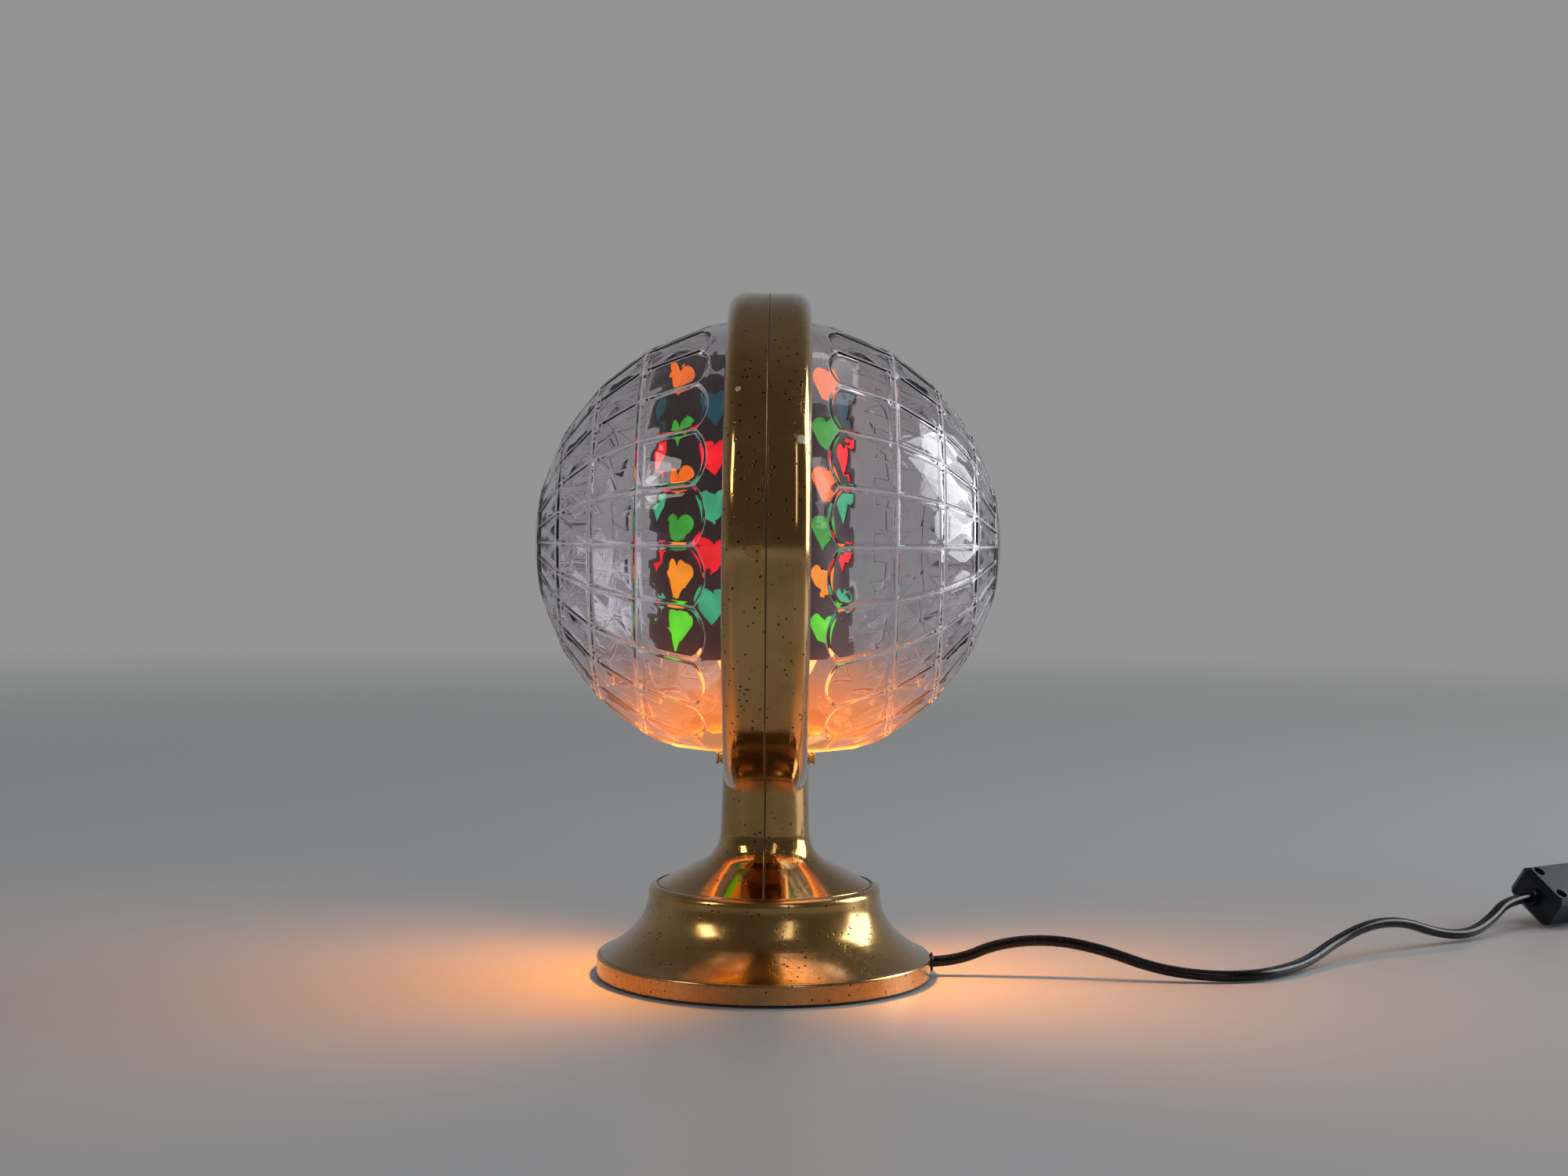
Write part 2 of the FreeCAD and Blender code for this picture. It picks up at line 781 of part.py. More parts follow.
def build_filament():
    # A tungsten coil held across the stem by two support wires, drawn as one bent rod
    wire = 0.3
    reach = 9.0
    stem_top = float(bulb_z) - 8
    top = float(bulb_z) + 3
    left = Vector(0, -reach, top)
    right = Vector(0, reach, top)
    foot_left = Vector(0, -0.7, stem_top)
    foot_right = Vector(0, 0.7, stem_top)
    arc = Part.Arc(left, Vector(0, 0, top + 3), right).toShape()
    rods = []
    for low, high in ((foot_left, left), (foot_right, right)):
        rods.append(Part.makeCylinder(wire, (high - low).Length, low, high - low))
    bow = Part.Wire([arc]).makePipeShell([circle_wire(left, arc.tangentAt(arc.FirstParameter), 0.7)], True, False)
    bow = Part.Solid(bow) if bow.ShapeType != "Solid" else bow
    caps = [Part.makeSphere(0.7, point) for point in (left, right)]
    computed("bulb_filament", bow.multiFuse(rods + caps))


def circle_wire(centre, direction, radius):
    return Part.Wire([Part.Circle(centre, direction, radius).toShape()])


def rounded_path(points, reach=0.45):
    # Straight runs joined by tangent arcs; each arc is as large as its two runs allow
    edges = []
    radii = []
    here = points[0]
    for before, corner, after in zip(points, points[1:], points[2:]):
        back = before - corner
        ahead = after - corner
        turn = math.pi - back.getAngle(ahead)
        shorter = min(back.Length, ahead.Length)
        cut = reach * shorter
        radii.append(cut / math.tan(turn / 2))
        start = corner + back.normalize() * cut
        end = corner + ahead.normalize() * cut
        bisector = (back + ahead).normalize()
        radius = radii[-1]
        middle = corner + bisector * (radius / math.cos(turn / 2) - radius)
        edges.append(Part.LineSegment(here, start).toShape())
        edges.append(Part.Arc(start, middle, end).toShape())
        here = end
    edges.append(Part.LineSegment(here, points[-1]).toShape())
    return Part.Wire(edges), radii


def swept(path, radius):
    first = path.Edges[0]
    profile = circle_wire(first.valueAt(first.FirstParameter), first.tangentAt(first.FirstParameter), radius)
    return path.makePipeShell([profile], True, False)


def tube_along(name, points, radius, report=True):
    path, radii = rounded_path([Vector(*point) for point in points])
    shape = swept(path, radius)
    wanted = math.pi * radius ** 2 * path.Length
    if report:
        listed = ", ".join(f"{value:.0f}" for value in radii)
        print(f"{name}: length {path.Length:.1f} mm, radii {listed}, volume ratio {shape.Volume / wanted:.4f}")
    return computed(name, shape)


def build_arch():
    # The arch leans towards -X, so that the needle on its crown stands off the centre line
    body = new_body("pivot_arch")
    foot_z = collar_top + wire_radius + 0.05
    reach = arch_top - foot_z
    path = new_sketch(body, "arch_path", "YZ_Plane")
    half = wire_spread
    bend = wire_bend
    inner_end = holder_radius + 0.2
    spring = reach - half
    corners = [(inner_end, 0), (half - bend, 0), (half, bend, bend), (half, spring), (0, reach, half),
               (-half, spring, half), (-half, bend), (-(half - bend), 0, bend), (-inner_end, 0)]
    limits = []
    bound = []
    ends = []
    for start, corner in zip(corners, corners[1:]):
        p = Vector(float(start[0]), float(start[1]), 0)
        q = Vector(float(corner[0]), float(corner[1]), 0)
        if len(corner) == 2:
            index = path.addGeometry(Part.LineSegment(p, q))
        else:
            radius = float(corner[2])
            across = q - p
            rise = math.sqrt(max(radius ** 2 - across.Length ** 2 / 4, 0))
            left = Vector(-across.y, across.x, 0).normalize()
            centre = (p + q) * 0.5 + left * rise
            angles = [math.atan2((v - centre).y, (v - centre).x) for v in (p, q)]
            circle = Part.Circle(centre, Vector(0, 0, 1), radius)
            index = path.addGeometry(Part.ArcOfCircle(circle, *angles))
            bound.append((len(limits), as_size(corner[2])))
            limits.append(Sketcher.Constraint("Radius", index, radius))
        if ends:
            limits.append(Sketcher.Constraint("Coincident", index - 1, 2, index, 1))
        place_point(path, limits, bound, index, 1, start[0], start[1])
        ends.append(index)
    place_point(path, limits, bound, ends[-1], 2, corners[-1][0], corners[-1][1])
    finish_limits(path, limits, bound)
    section = new_sketch(body, "arch_section", "XZ_Plane")
    shift_sketch(section, along_normal=-inner_end)
    draw_circle(section, 0, 0, wire_radius)
    pipe = body.newObject("PartDesign::AdditivePipe", "arch_wire")
    pipe.Profile = section
    pipe.Spine = (path, [])
    pipe.Transition = "Transformed"
    lean = math.degrees(math.asin(drum_offset.value / reach.value))
    body.Placement = Placement(Vector(0, 0, 0), Rotation(Vector(0, 1, 0), -lean))
    bind(body, "Placement.Base.z", foot_z)
    crown = foot_z.value + reach.value * math.cos(math.radians(lean))
    return crown


def build_needle(crown):
    seat = crown + wire_radius.value + needle_gap.value / 2
    point = float(turbine_z) + float(turbine_sheet) + 0.6
    body = turned("pivot_needle", [
        (0, seat), (2.2, seat), (2.2, seat + 4.5), (needle_radius + 0.4, seat + 6), (needle_radius, seat + 6.4),
        (needle_radius, point - needle_point.value), (0, point)])
    bind(body, "Placement.Base.x", -drum_offset)
    return point


# Drum: a dark sleeve pierced with staggered hearts, lined with coloured film

def heart_corners(x, z):
    tip_to_centre = root(heart_lobe_out * heart_lobe_out
                         + (heart_lobe_up + heart_tip) * (heart_lobe_up + heart_tip))
    rise = heart_lobe_up + heart_tip
    lobe_angle = math.degrees(math.atan2(rise.value, heart_lobe_out.value))
    open_angle = math.degrees(math.asin(heart_lobe.value / tip_to_centre.value))
    side_angle = lobe_angle - open_angle
    touch_x = heart_lobe_out + heart_lobe * sine(side_angle)
    touch_z = heart_lobe_up - heart_lobe * cosine(side_angle)
    notch_z = heart_lobe_up + root(heart_lobe * heart_lobe - heart_lobe_out * heart_lobe_out)
    crown_z = heart_lobe_up + heart_lobe
    return [
        (x, z - heart_tip), (x + touch_x, z + touch_z),
        (x + heart_lobe_out, z + crown_z, heart_lobe), (x, z + notch_z, heart_lobe),
        (x - heart_lobe_out, z + crown_z, heart_lobe), (x - touch_x, z + touch_z, heart_lobe)]


def build_drum():
    inner = drum_radius - drum_wall
    top = drum_bottom + drum_tall
    body = turned("drum_sleeve", [
        (inner, drum_bottom), (drum_radius, drum_bottom), (drum_radius, top), (inner, top)])
    bind(body, "Placement.Base.x", -drum_offset)
    for label, rows, first, turn in (
            ("even", heart_rows, heart_first, 0.0), ("odd", heart_rows - 1, heart_first + heart_pitch / 2, 0.5)):
        sketch = new_sketch(body, f"{label}_hearts", "XZ_Plane")
        angle = heart_phase.value + turn * 360.0 / column_pairs
        sketch.AttachmentOffset = Placement(Vector(0, 0, 0), Rotation(Vector(0, 1, 0), angle))
        for row in range(rows):
            draw_outline(sketch, heart_corners(as_size(0), first + row * heart_pitch))
        cut = pocket(body, f"{label}_column", sketch, drum_radius + 1, backwards=True)
        repeat_round(body, f"{label}_columns", cut, column_pairs)

    film = drum_radius - drum_wall - film_gap
    turned("colour_film", [
        (film - film_wall, drum_bottom + 0.5), (film, drum_bottom + 0.5), (film, top - 0.5), (film - film_wall, top - 0.5)])
    bind(parts["colour_film"], "Placement.Base.x", -drum_offset)
    hoop = film - film_wall - film_gap
    hoops = new_body("drum_hoops")
    hoops.AllowCompound = True
    for label, low in (("lower", drum_bottom), ("upper", top - hoop_tall)):
        sketch = new_sketch(hoops, f"{label}_hoop_profile", "XZ_Plane")
        draw_outline(sketch, box_corners(hoop - hoop_wall, low, hoop, low + hoop_tall))
        revolve(hoops, f"{label}_hoop", sketch)
    bind(hoops, "Placement.Base.x", -drum_offset)


def build_turbine():
    hoop_inner = drum_radius - drum_wall - 2 * film_gap - film_wall - hoop_wall
    rim = hoop_inner - 0.1
    low = turbine_z
    body = new_body("rotor_turbine")
    rim_sketch = new_sketch(body, "turbine_rim_profile", "XZ_Plane")
    draw_outline(rim_sketch, box_corners(rim - turbine_rim, low, rim, low + turbine_sheet))
    revolve(body, "turbine_rim_turn", rim_sketch)
    blade_sketch = new_sketch(body, "blade_sketch", "YZ_Plane")
    start = hub_radius - 1
    shift_sketch(blade_sketch, along_normal=start)
    half_y = blade_width / 2 * cosine(blade_pitch)
    half_z = blade_width / 2 * sine(blade_pitch)
    middle = low + turbine_sheet / 2
    lift = blade_thick / 2 / cosine(blade_pitch)
    draw_outline(blade_sketch, [
        (-half_y, middle - half_z - lift), (half_y, middle + half_z - lift),
        (half_y, middle + half_z + lift), (-half_y, middle - half_z + lift)])
    blade = pad(body, "blade", blade_sketch, rim - turbine_rim - start + 1)
    repeat_round(body, "blades", blade, blade_count)
    hub_sketch = new_sketch(body, "hub_sketch", "XZ_Plane")
    draw_outline(hub_sketch, box_corners(cup_radius + 0.05, low - 2, hub_radius, low + turbine_sheet + 1))
    revolve(body, "hub", hub_sketch)
    bind(body, "Placement.Base.x", -drum_offset)


def build_cup(point):
    top = point + 2.2
    flange = float(turbine_z) + float(turbine_sheet) + 1
    bore = needle_radius + needle_gap
    body = turned("pivot_cup", [
        (bore, top - cup_tall.value), (cup_radius, top - cup_tall.value), (cup_radius, flange),
        (cup_radius + 1.4, flange), (cup_radius + 1.4, flange + 0.8), (1.4, top), (0, top),
        (0, point + 0.08), (bore, point - needle_point.value + 0.08)])
    bind(body, "Placement.Base.x", -drum_offset)


# Lead: grommet, lead inside the base, cord, switch, coil and plug

def build_grommet():
    inner = base_radius - base_wall - 1
    outer = base_radius + grommet_proud
    body = new_body("cord_grommet")
    sketch = new_sketch(body, "grommet_profile", "XZ_Plane")
    shift_sketch(sketch, along_y=cord_z)
    bore = cord_width / 2 + thread_gap
    draw_outline(sketch, [
        (inner, bore), (outer, bore), (outer, grommet_flange - 0.4), (outer - 0.4, grommet_flange),
        (base_radius + 0.05, grommet_flange), (base_radius + 0.05, grommet_radius - thread_gap),
        (inner, grommet_radius - thread_gap)])
    revolve(body, "grommet_turn", sketch, axis="H_Axis")


def switch_placement():
    along = Vector(0.82, 0.572, 0).normalize()
    roll = math.radians(35)
    aside = Vector(-along.y, along.x, 0)
    face = aside * math.sin(roll) - Vector(0, 0, 1) * math.cos(roll)
    across = face.cross(along)
    start = Vector(float(switch_x), float(switch_y), float(switch_z))
    turn = FreeCAD.Matrix(along.x, across.x, face.x, start.x, along.y, across.y, face.y, start.y,
                          along.z, across.z, face.z, start.z, 0, 0, 0, 1)
    return Placement(turn)


def switch_outline():
    start = collar_long
    end = collar_long + switch_long
    wide = switch_wide / 2
    cut = switch_chamfer
    return [(start, -(wide - cut)), (start + cut, -wide), (end - cut, -wide), (end, -(wide - cut)),
            (end, wide - cut), (end - cut, wide), (start + cut, wide), (start, wide - cut)]


def build_switch_half(name, side):
    body = new_body(name)
    up = side > 0
    sketch = new_sketch(body, name + "_outline", "XY_Plane")
    draw_outline(sketch, switch_outline())
    block = pad(body, name + "_block", sketch, switch_half, backwards=not up)
    face_z = side * switch_half.value
    rim = edges_at(block, lambda edge: abs(edge.CenterOfMass.z - face_z) < 1e-3)
    chamfer(body, name + "_bevel", block, rim, switch_chamfer)
    hollow = new_sketch(body, name + "_hollow", "XY_Plane")
    wall = switch_wall
    inner_start = collar_long + 2 * wall
    inner_end = collar_long + switch_long - 2 * wall
    inner_half = switch_wide / 2 - wall
    draw_outline(hollow, box_corners(inner_start, -inner_half, inner_end, inner_half))
    pocket(body, name + "_cavity", hollow, switch_half - wall, backwards=up)
    for label, start, length in (
            ("near", as_size(0), collar_long), ("far", collar_long + switch_long, collar_long)):
        collar = new_sketch(body, f"{name}_{label}_collar", "YZ_Plane")
        shift_sketch(collar, along_normal=start)
        bulge = cord_collar * side
        draw_outline(collar, [(bulge, 0), (0, bulge, cord_collar), (-bulge, 0, cord_collar)])
        pad(body, f"{name}_{label}_exit", collar, length)
    return body


def screw_spots():
    inset = switch_wall + switch_screw_head + 1.2
    near = collar_long + inset + 1
    far = collar_long + switch_long - inset - 1
    side = switch_wide / 2 - inset
    return [(near, -side), (near, side), (far, -side), (far, side)]


def build_switch():
    cover = build_switch_half("switch_cover", 1)
    middle = collar_long + switch_long / 2
    slot = new_sketch(cover, "rocker_slot", "XY_Plane")
    shift_sketch(slot, along_normal=switch_half - 2 * switch_wall)
    half_long = rocker_long / 2 + 2 * rocker_gap
    half_wide = rocker_wide / 2 + rocker_gap
    draw_outline(slot, box_corners(middle - half_long, -half_wide, middle + half_long, half_wide))
    pocket(cover, "rocker_opening", slot, 4 * switch_wall, backwards=True)
    lug_wide = 2.4
    for label, low in (("left", half_wide), ("right", -half_wide - lug_wide)):
        lug = new_sketch(cover, f"{label}_lug_sketch", "XZ_Plane")
        shift_sketch(lug, along_normal=-(low + lug_wide))
        draw_outline(lug, [
            (middle - 3, rocker_axis - 3), (middle + 3, rocker_axis - 3),
            (middle + 3, switch_half - switch_wall / 2), (middle - 3, switch_half - switch_wall / 2)])
        draw_circle(lug, middle, rocker_axis, rocker_pin + thread_gap)
        pad(cover, f"{label}_lug", lug, lug_wide)

    base = build_switch_half("switch_base", -1)
    posts = new_sketch(base, "screw_post_sketch", "XY_Plane")
    shift_sketch(posts, along_normal=-(switch_half - switch_wall / 2))
    for x, y in screw_spots():
        draw_circle(posts, x, y, switch_screw_head + 1.6)
    pad(base, "screw_posts", posts, switch_half - switch_wall / 2)
    cover_posts = new_sketch(cover, "cover_post_sketch", "XY_Plane")
    for x, y in screw_spots():
        draw_circle(cover_posts, x, y, switch_screw_head + 0.6)
    pad(cover, "cover_posts", cover_posts, switch_half - switch_wall / 2)
    heads = new_sketch(base, "screw_head_sketch", "XY_Plane")
    shift_sketch(heads, along_normal=-switch_half)
    for x, y in screw_spots():
        draw_circle(heads, x, y, switch_screw_head + 0.2)
    pocket(base, "screw_recesses", heads, switch_half / 2, backwards=True)
    for body, label in ((base, "base"), (cover, "cover")):
        shanks = new_sketch(body, f"{label}_shank_sketch", "XY_Plane")
        shift_sketch(shanks, along_normal=-switch_half)
        for x, y in screw_spots():
            draw_circle(shanks, x, y, 1.3)
        pocket(body, f"{label}_shank_holes", shanks, switch_half + 4, backwards=True)

    screws = new_body("switch_screws")
    screws.AllowCompound = True
    head_low = -(switch_half / 2) - 1.6
    for index, (x, y) in enumerate(screw_spots()):
        profile = new_sketch(screws, f"switch_screw_profile_{index + 1}", "XZ_Plane")
        shift_sketch(profile, along_x=x, along_normal=-y)
        draw_outline(profile, [
            (0, head_low), (switch_screw_head, head_low), (switch_screw_head, -(switch_half / 2)),
            (1.25, -(switch_half / 2)), (1.25, 3.6), (0, 3.6)])
        revolve(screws, f"switch_screw_{index + 1}", profile)

    rocker = new_body("switch_rocker")
    side_view = new_sketch(rocker, "rocker_side", "XZ_Plane")
    shift_sketch(side_view, along_normal=-rocker_wide / 2)
    half_rocker = rocker_long / 2
    top = switch_half - rocker_axis + 2.0
    draw_outline(side_view, [
        (-half_rocker + 1.2, 1.2), (-2.4, -2.2), (2.4, -2.2), (half_rocker - 1.2, 1.2),
        (half_rocker, top), (0, top - 1.4), (-half_rocker, top)])
    pad(rocker, "rocker_block", side_view, rocker_wide)
    pins = new_sketch(rocker, "rocker_pin_sketch", "XZ_Plane")
    pin_reach = rocker_wide / 2 + rocker_gap + 2.2
    shift_sketch(pins, along_normal=-pin_reach)
    draw_circle(pins, 0, 0, rocker_pin)
    pad(rocker, "rocker_pins", pins, 2 * pin_reach)

    contacts = new_body("switch_contacts")
    contacts.AllowCompound = True
    floor = -(switch_half - switch_wall)
    for label, y in (("left", 3.0), ("right", -5.0)):
        strip = new_sketch(contacts, f"{label}_contact_side", "XZ_Plane")
        shift_sketch(strip, along_normal=-(as_size(y) + 2))
        draw_outline(strip, [
            (middle - 14, floor), (middle + 14, floor), (middle + 14, floor + 0.8), (middle + 8, floor + 0.8),
            (middle + 5, floor + 2.6), (middle + 4, floor + 2.6), (middle + 6, floor + 0.8), (middle - 14, floor + 0.8)])
        pad(contacts, f"{label}_contact", strip, 2)

    spot = switch_placement()
    for name in ("switch_cover", "switch_base", "switch_screws", "switch_contacts"):
        parts[name].Placement = spot
    tilt = Rotation(Vector(0, 1, 0), rocker_tilt.value)
    rocker.Placement = spot.multiply(Placement(Vector(middle.value, 0, rocker_axis.value), tilt))
    return spot


def biarc(p, u, q, v):
    # Two tangent arcs from p, heading u, to q, heading v
    gap = q - p
    both = u + v
    a = both.dot(both) - 4
    b = 2 * gap.dot(both)
    c = -gap.dot(gap)
    b = -b
    c = -c
    if abs(a) < 1e-9:
        reach = c / -b
    else:
        reach = min(r for r in ((-b + math.sqrt(b * b - 4 * a * c)) / (2 * a),
                                (-b - math.sqrt(b * b - 4 * a * c)) / (2 * a)) if r > 0)
    first = p + u * reach
    last = q - v * reach
    joint = (first + last) * 0.5
    edges = []
    for start, heading, end in ((p, u, joint), (joint, (last - first).normalize(), q)):
        edges.append(Part.Arc(start, arc_middle(start, heading, end), end).toShape())
    return edges


def arc_middle(start, heading, end):
    chord = end - start
    half = heading.getAngle(chord)
    across = (heading - chord * (heading.dot(chord) / chord.dot(chord)))
    if across.Length < 1e-9:
        return (start + end) * 0.5
    sagitta = chord.Length / 2 * math.tan(half / 2)
    return (start + end) * 0.5 + across.normalize() * sagitta


def coil_spot(turn_count, centre, first_angle):
    # Spirals in on the lower layer, climbs in a half turn at the middle, spirals out on the upper layer
    outside = coil_middle.value + coil_pitch.value * coil_turns / 2
    inside = coil_middle.value - coil_pitch.value * coil_turns / 2
    pitch = coil_pitch.value
    if turn_count < coil_turns:
        radius = outside - pitch * turn_count
        slope = -pitch
        lift = 0.0
        climb = 0.0
    elif turn_count <= coil_turns + 0.5:
        share = (turn_count - coil_turns) * 2
        radius = inside - pitch / (2 * math.pi) * math.sin(math.pi * share)
        slope = -pitch * math.cos(math.pi * share)
        lift = pitch * (1 - math.cos(math.pi * share)) / 2
        climb = pitch * math.pi * math.sin(math.pi * share)
    else:
        radius = inside + pitch * (turn_count - coil_turns - 0.5)
        slope = pitch
        lift = pitch
        climb = 0.0
    angle = first_angle - 2 * math.pi * turn_count
    out = Vector(math.cos(angle), math.sin(angle), 0)
    ahead = Vector(math.sin(angle), -math.cos(angle), 0)
    place = centre + out * radius + Vector(0, 0, lift)
    heading = ahead * (2 * math.pi * radius) + out * slope + Vector(0, 0, climb)
    return place, heading.normalize()


def build_coil(start, along):
    stub = cord_width.value
    outside = coil_middle.value + coil_pitch.value * coil_turns / 2
    first = start + along * stub
    centre = first + Vector(along.y, -along.x, 0) * outside
    spoke = first - centre
    first_angle = math.atan2(spoke.y, spoke.x)
    quarters = int(4 * (2 * coil_turns + 0.5))
    spots = [coil_spot(0.25 * step, centre, first_angle) for step in range(quarters + 1)]
    edges = []
    for (p, u), (q, v) in zip(spots, spots[1:]):
        edges.extend(biarc(p, u, q, v))
    lead_in = spots[0][0] - spots[0][1] * stub
    lead_out = spots[-1][0] + spots[-1][1] * stub
    edges.insert(0, Part.LineSegment(lead_in, spots[0][0]).toShape())
    edges.append(Part.LineSegment(spots[-1][0], lead_out).toShape())
    path = Part.Wire(edges)
    shape = swept(path, cord_width.value / 2)
    wanted = math.pi * (cord_width.value / 2) ** 2 * path.Length
    print(f"cord_coil: length {path.Length:.1f} mm, volume ratio {shape.Volume / wanted:.4f}")
    measure_self_gap(path)
    computed("cord_coil", shape)
    build_tie(centre, first_angle)
    return lead_out, spots[-1][1]


def measure_self_gap(path):
    points = path.discretize(Distance=1.5)
    skip = int(3 * cord_width.value)
    least = 1e9
    for index, point in enumerate(points):
        for other in points[index + skip:]:
            least = min(least, point.distanceToPoint(other))
    print(f"cord_coil: least gap to itself {least - cord_width.value:.2f} mm")


def build_tie(centre, first_angle):
    # Sits three quarters of a turn on, well away from the half turn that climbs
    around = cord_width.value / 2 + tie_gap.value
    outside = coil_middle.value + coil_pitch.value * (coil_turns / 2 - 0.75) + around
    inside = coil_middle.value - coil_pitch.value * (coil_turns / 2 - 0.25) - around
    low = coil_low.value - cord_width.value / 2 - tie_gap.value
    high = coil_low.value + coil_pitch.value + cord_width.value / 2 + tie_gap.value
    thick = tie_thick.value
    body = new_body("cord_tie")
    sketch = new_sketch(body, "tie_band", "XZ_Plane")
    shift_sketch(sketch, along_normal=-tie_wide / 2)
    draw_outline(sketch, box_corners(inside - thick, low - thick, outside + thick, high + thick))
    draw_outline(sketch, box_corners(inside, low, outside, high))
    pad(body, "tie_loop", sketch, tie_wide)
    angle = math.degrees(first_angle) - 270
    body.Placement = Placement(Vector(centre.x, centre.y, 0), Rotation(Vector(0, 0, 1), angle))


def build_plug(start, heading):
    body = new_body("plug_body")
    plan = new_sketch(body, "plug_outline", "XY_Plane")
    shift_sketch(plan, along_normal=-plug_thick / 2)
    wide = plug_wide / 2
    neck = 5.2
    draw_outline(plan, [
        (0, -neck), (9, -neck - 0.8), (19, -(wide - 3.5)), (24, -wide), (plug_long - 2.5, -wide),
        (plug_long, -(wide - 2.5)), (plug_long, wide - 2.5), (plug_long - 2.5, wide),
        (24, wide), (19, wide - 3.5), (9, neck + 0.8), (0, neck)])
    block = pad(body, "plug_block", plan, plug_thick)
    half = plug_thick.value / 2
    rims = edges_at(block, lambda edge: abs(abs(edge.CenterOfMass.z) - half) < 1e-3)
    chamfer(body, "plug_bevel", block, rims, 1.6)
    pins = new_body("plug_pins")
    pins.AllowCompound = True
    for label, y in (("left", plug_pin_spread / 2), ("right", -plug_pin_spread / 2)):
        profile = new_sketch(pins, f"{label}_pin_profile", "XY_Plane")
        shift_sketch(profile, along_y=y)
        end = plug_long + plug_pin_long
        draw_outline(profile, [
            (plug_long, 0), (end, 0), (end - 0.2, 1.1), (end - 1.4, plug_pin_radius), (plug_long, plug_pin_radius)])
        revolve(pins, f"{label}_pin", profile, axis="H_Axis")
    flat = Vector(heading.x, heading.y, 0).normalize()
    turn = Rotation(Vector(1, 0, 0), flat)
    for part in (body, pins):
        part.Placement = Placement(start, turn)


def build_lead():
    half = cord_width.value / 2
    inside = base_radius.value - base_wall.value - 1
    leave = cord_z.value
    tube_along("inner_lead", [
        (inside, 0, leave), (34, 0, leave), (0, 0, 17), (0, 0, float(tube_top) - 0.5)], half, report=False)
    spot = build_switch()
    near = spot.multVec(Vector(0, 0, 0))
    far = spot.multVec(Vector(collar_long.value * 2 + switch_long.value, 0, 0))
    along = (far - near).normalize()
    route = [(inside, 0, leave), (base_radius.value + 10.8, 0, leave + 0.2)]
    route += [(x * switch_x.value, y * switch_y.value, half + rise) for x, y, rise in lead_bends]
    route += [(near.x - 17 * along.x, near.y - 17 * along.y, near.z), (near.x, near.y, near.z)]
    tube_along("cord_to_switch", route, half)
    low = coil_low.value
    entry = Vector(far.x + 46 * along.x, far.y + 46 * along.y, low)
    tube_along("cord_to_coil", [
        (far.x, far.y, far.z), (far.x + 14 * along.x, far.y + 14 * along.y, far.z - 0.6),
        (far.x + 31 * along.x, far.y + 31 * along.y, low + 0.4), (entry.x, entry.y, entry.z)], half)
    lead_out, heading = build_coil(entry, along)
    rest = plug_thick.value / 2 + 0.05
    plug_start = Vector(lead_out.x + 36 * heading.x, lead_out.y + 36 * heading.y, rest)
    tube_along("cord_to_plug", [
        (lead_out.x, lead_out.y, lead_out.z),
        (lead_out.x + 14 * heading.x, lead_out.y + 14 * heading.y, lead_out.z - 0.2),
        (lead_out.x + 24 * heading.x, lead_out.y + 24 * heading.y, rest + 0.1),
        (plug_start.x, plug_start.y, plug_start.z)], half)
    build_plug(plug_start, heading)


build_base_shell()
build_base_plate()
build_plate_screws()
build_stand_half("stand_half_left", -1)
build_stand_half("stand_half_right", 1)
build_neck_screws()
build_domes()
build_tube()
build_holder()
build_bulb()
build_filament()
arch_crown = build_arch()
needle_tip = build_needle(arch_crown)
build_drum()
build_turbine()
build_cup(needle_tip)
build_grommet()
build_lead()
doc.recompute()

# Every feature has to be sound before anything is written

for feature in doc.Objects:
    if "Invalid" in feature.State or "Error" in feature.State:
        raise RuntimeError(f"{feature.Name} failed: {feature.State}")
for name, feature in parts.items():
    if feature.Shape.isNull() or not feature.Shape.isValid():
        raise RuntimeError(f"{name} has no valid shape")

os.makedirs("parts", exist_ok=True)
triangles = 0
for name, feature in parts.items():
    feature.Shape.exportStep(f"parts/{name}.step")
    triangles += len(feature.Shape.tessellate(0.1)[1])
print(f"{len(parts)} sub-parts, about {triangles} triangles")
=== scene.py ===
# %% [markdown]
# # A rotating motion lamp
#
# The lamp is a gold plated ring on a flared neck and a bell-shaped base. The ring holds two clear
# domes whose outside is cut into lens-like facets. Inside them a dark drum full of heart windows
# turns on a needle above the bulb, driven by warm air. The measured solids come from the packed
# model; this lesson gives them their finishes, replaces the pieces whose surface needs more
# shape than a solid has, and sets up the camera and the light.

import math

import bmesh
import bpy
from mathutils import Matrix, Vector


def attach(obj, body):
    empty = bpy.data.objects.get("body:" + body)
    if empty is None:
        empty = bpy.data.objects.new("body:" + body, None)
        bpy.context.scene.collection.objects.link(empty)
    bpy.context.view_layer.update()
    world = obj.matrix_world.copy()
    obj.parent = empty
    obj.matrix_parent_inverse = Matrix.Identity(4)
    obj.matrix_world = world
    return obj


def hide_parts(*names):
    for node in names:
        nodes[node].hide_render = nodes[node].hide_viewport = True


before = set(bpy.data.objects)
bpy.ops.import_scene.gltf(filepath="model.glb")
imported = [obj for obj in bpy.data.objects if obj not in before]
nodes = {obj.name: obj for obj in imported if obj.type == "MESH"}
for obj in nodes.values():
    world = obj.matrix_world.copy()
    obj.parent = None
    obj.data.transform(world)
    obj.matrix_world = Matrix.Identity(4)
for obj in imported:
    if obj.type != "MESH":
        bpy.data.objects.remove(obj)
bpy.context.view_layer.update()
MM = 0.001

# %% [markdown]
# ## Camera
#
# The photograph was taken from about a metre away, a little above the middle of the globe, with
# a moderately long lens. The camera is set first, because everything else is judged through it.

# %% Camera
CAMERA_PLACE = Vector((0.00675, -1.014, 0.2))
CAMERA_DOWN = 1.85
CAMERA_ROLL = -0.6
LENS = 54.07
FILM_WIDE = 36.0
NEAREST_SEEN = 10 * MM


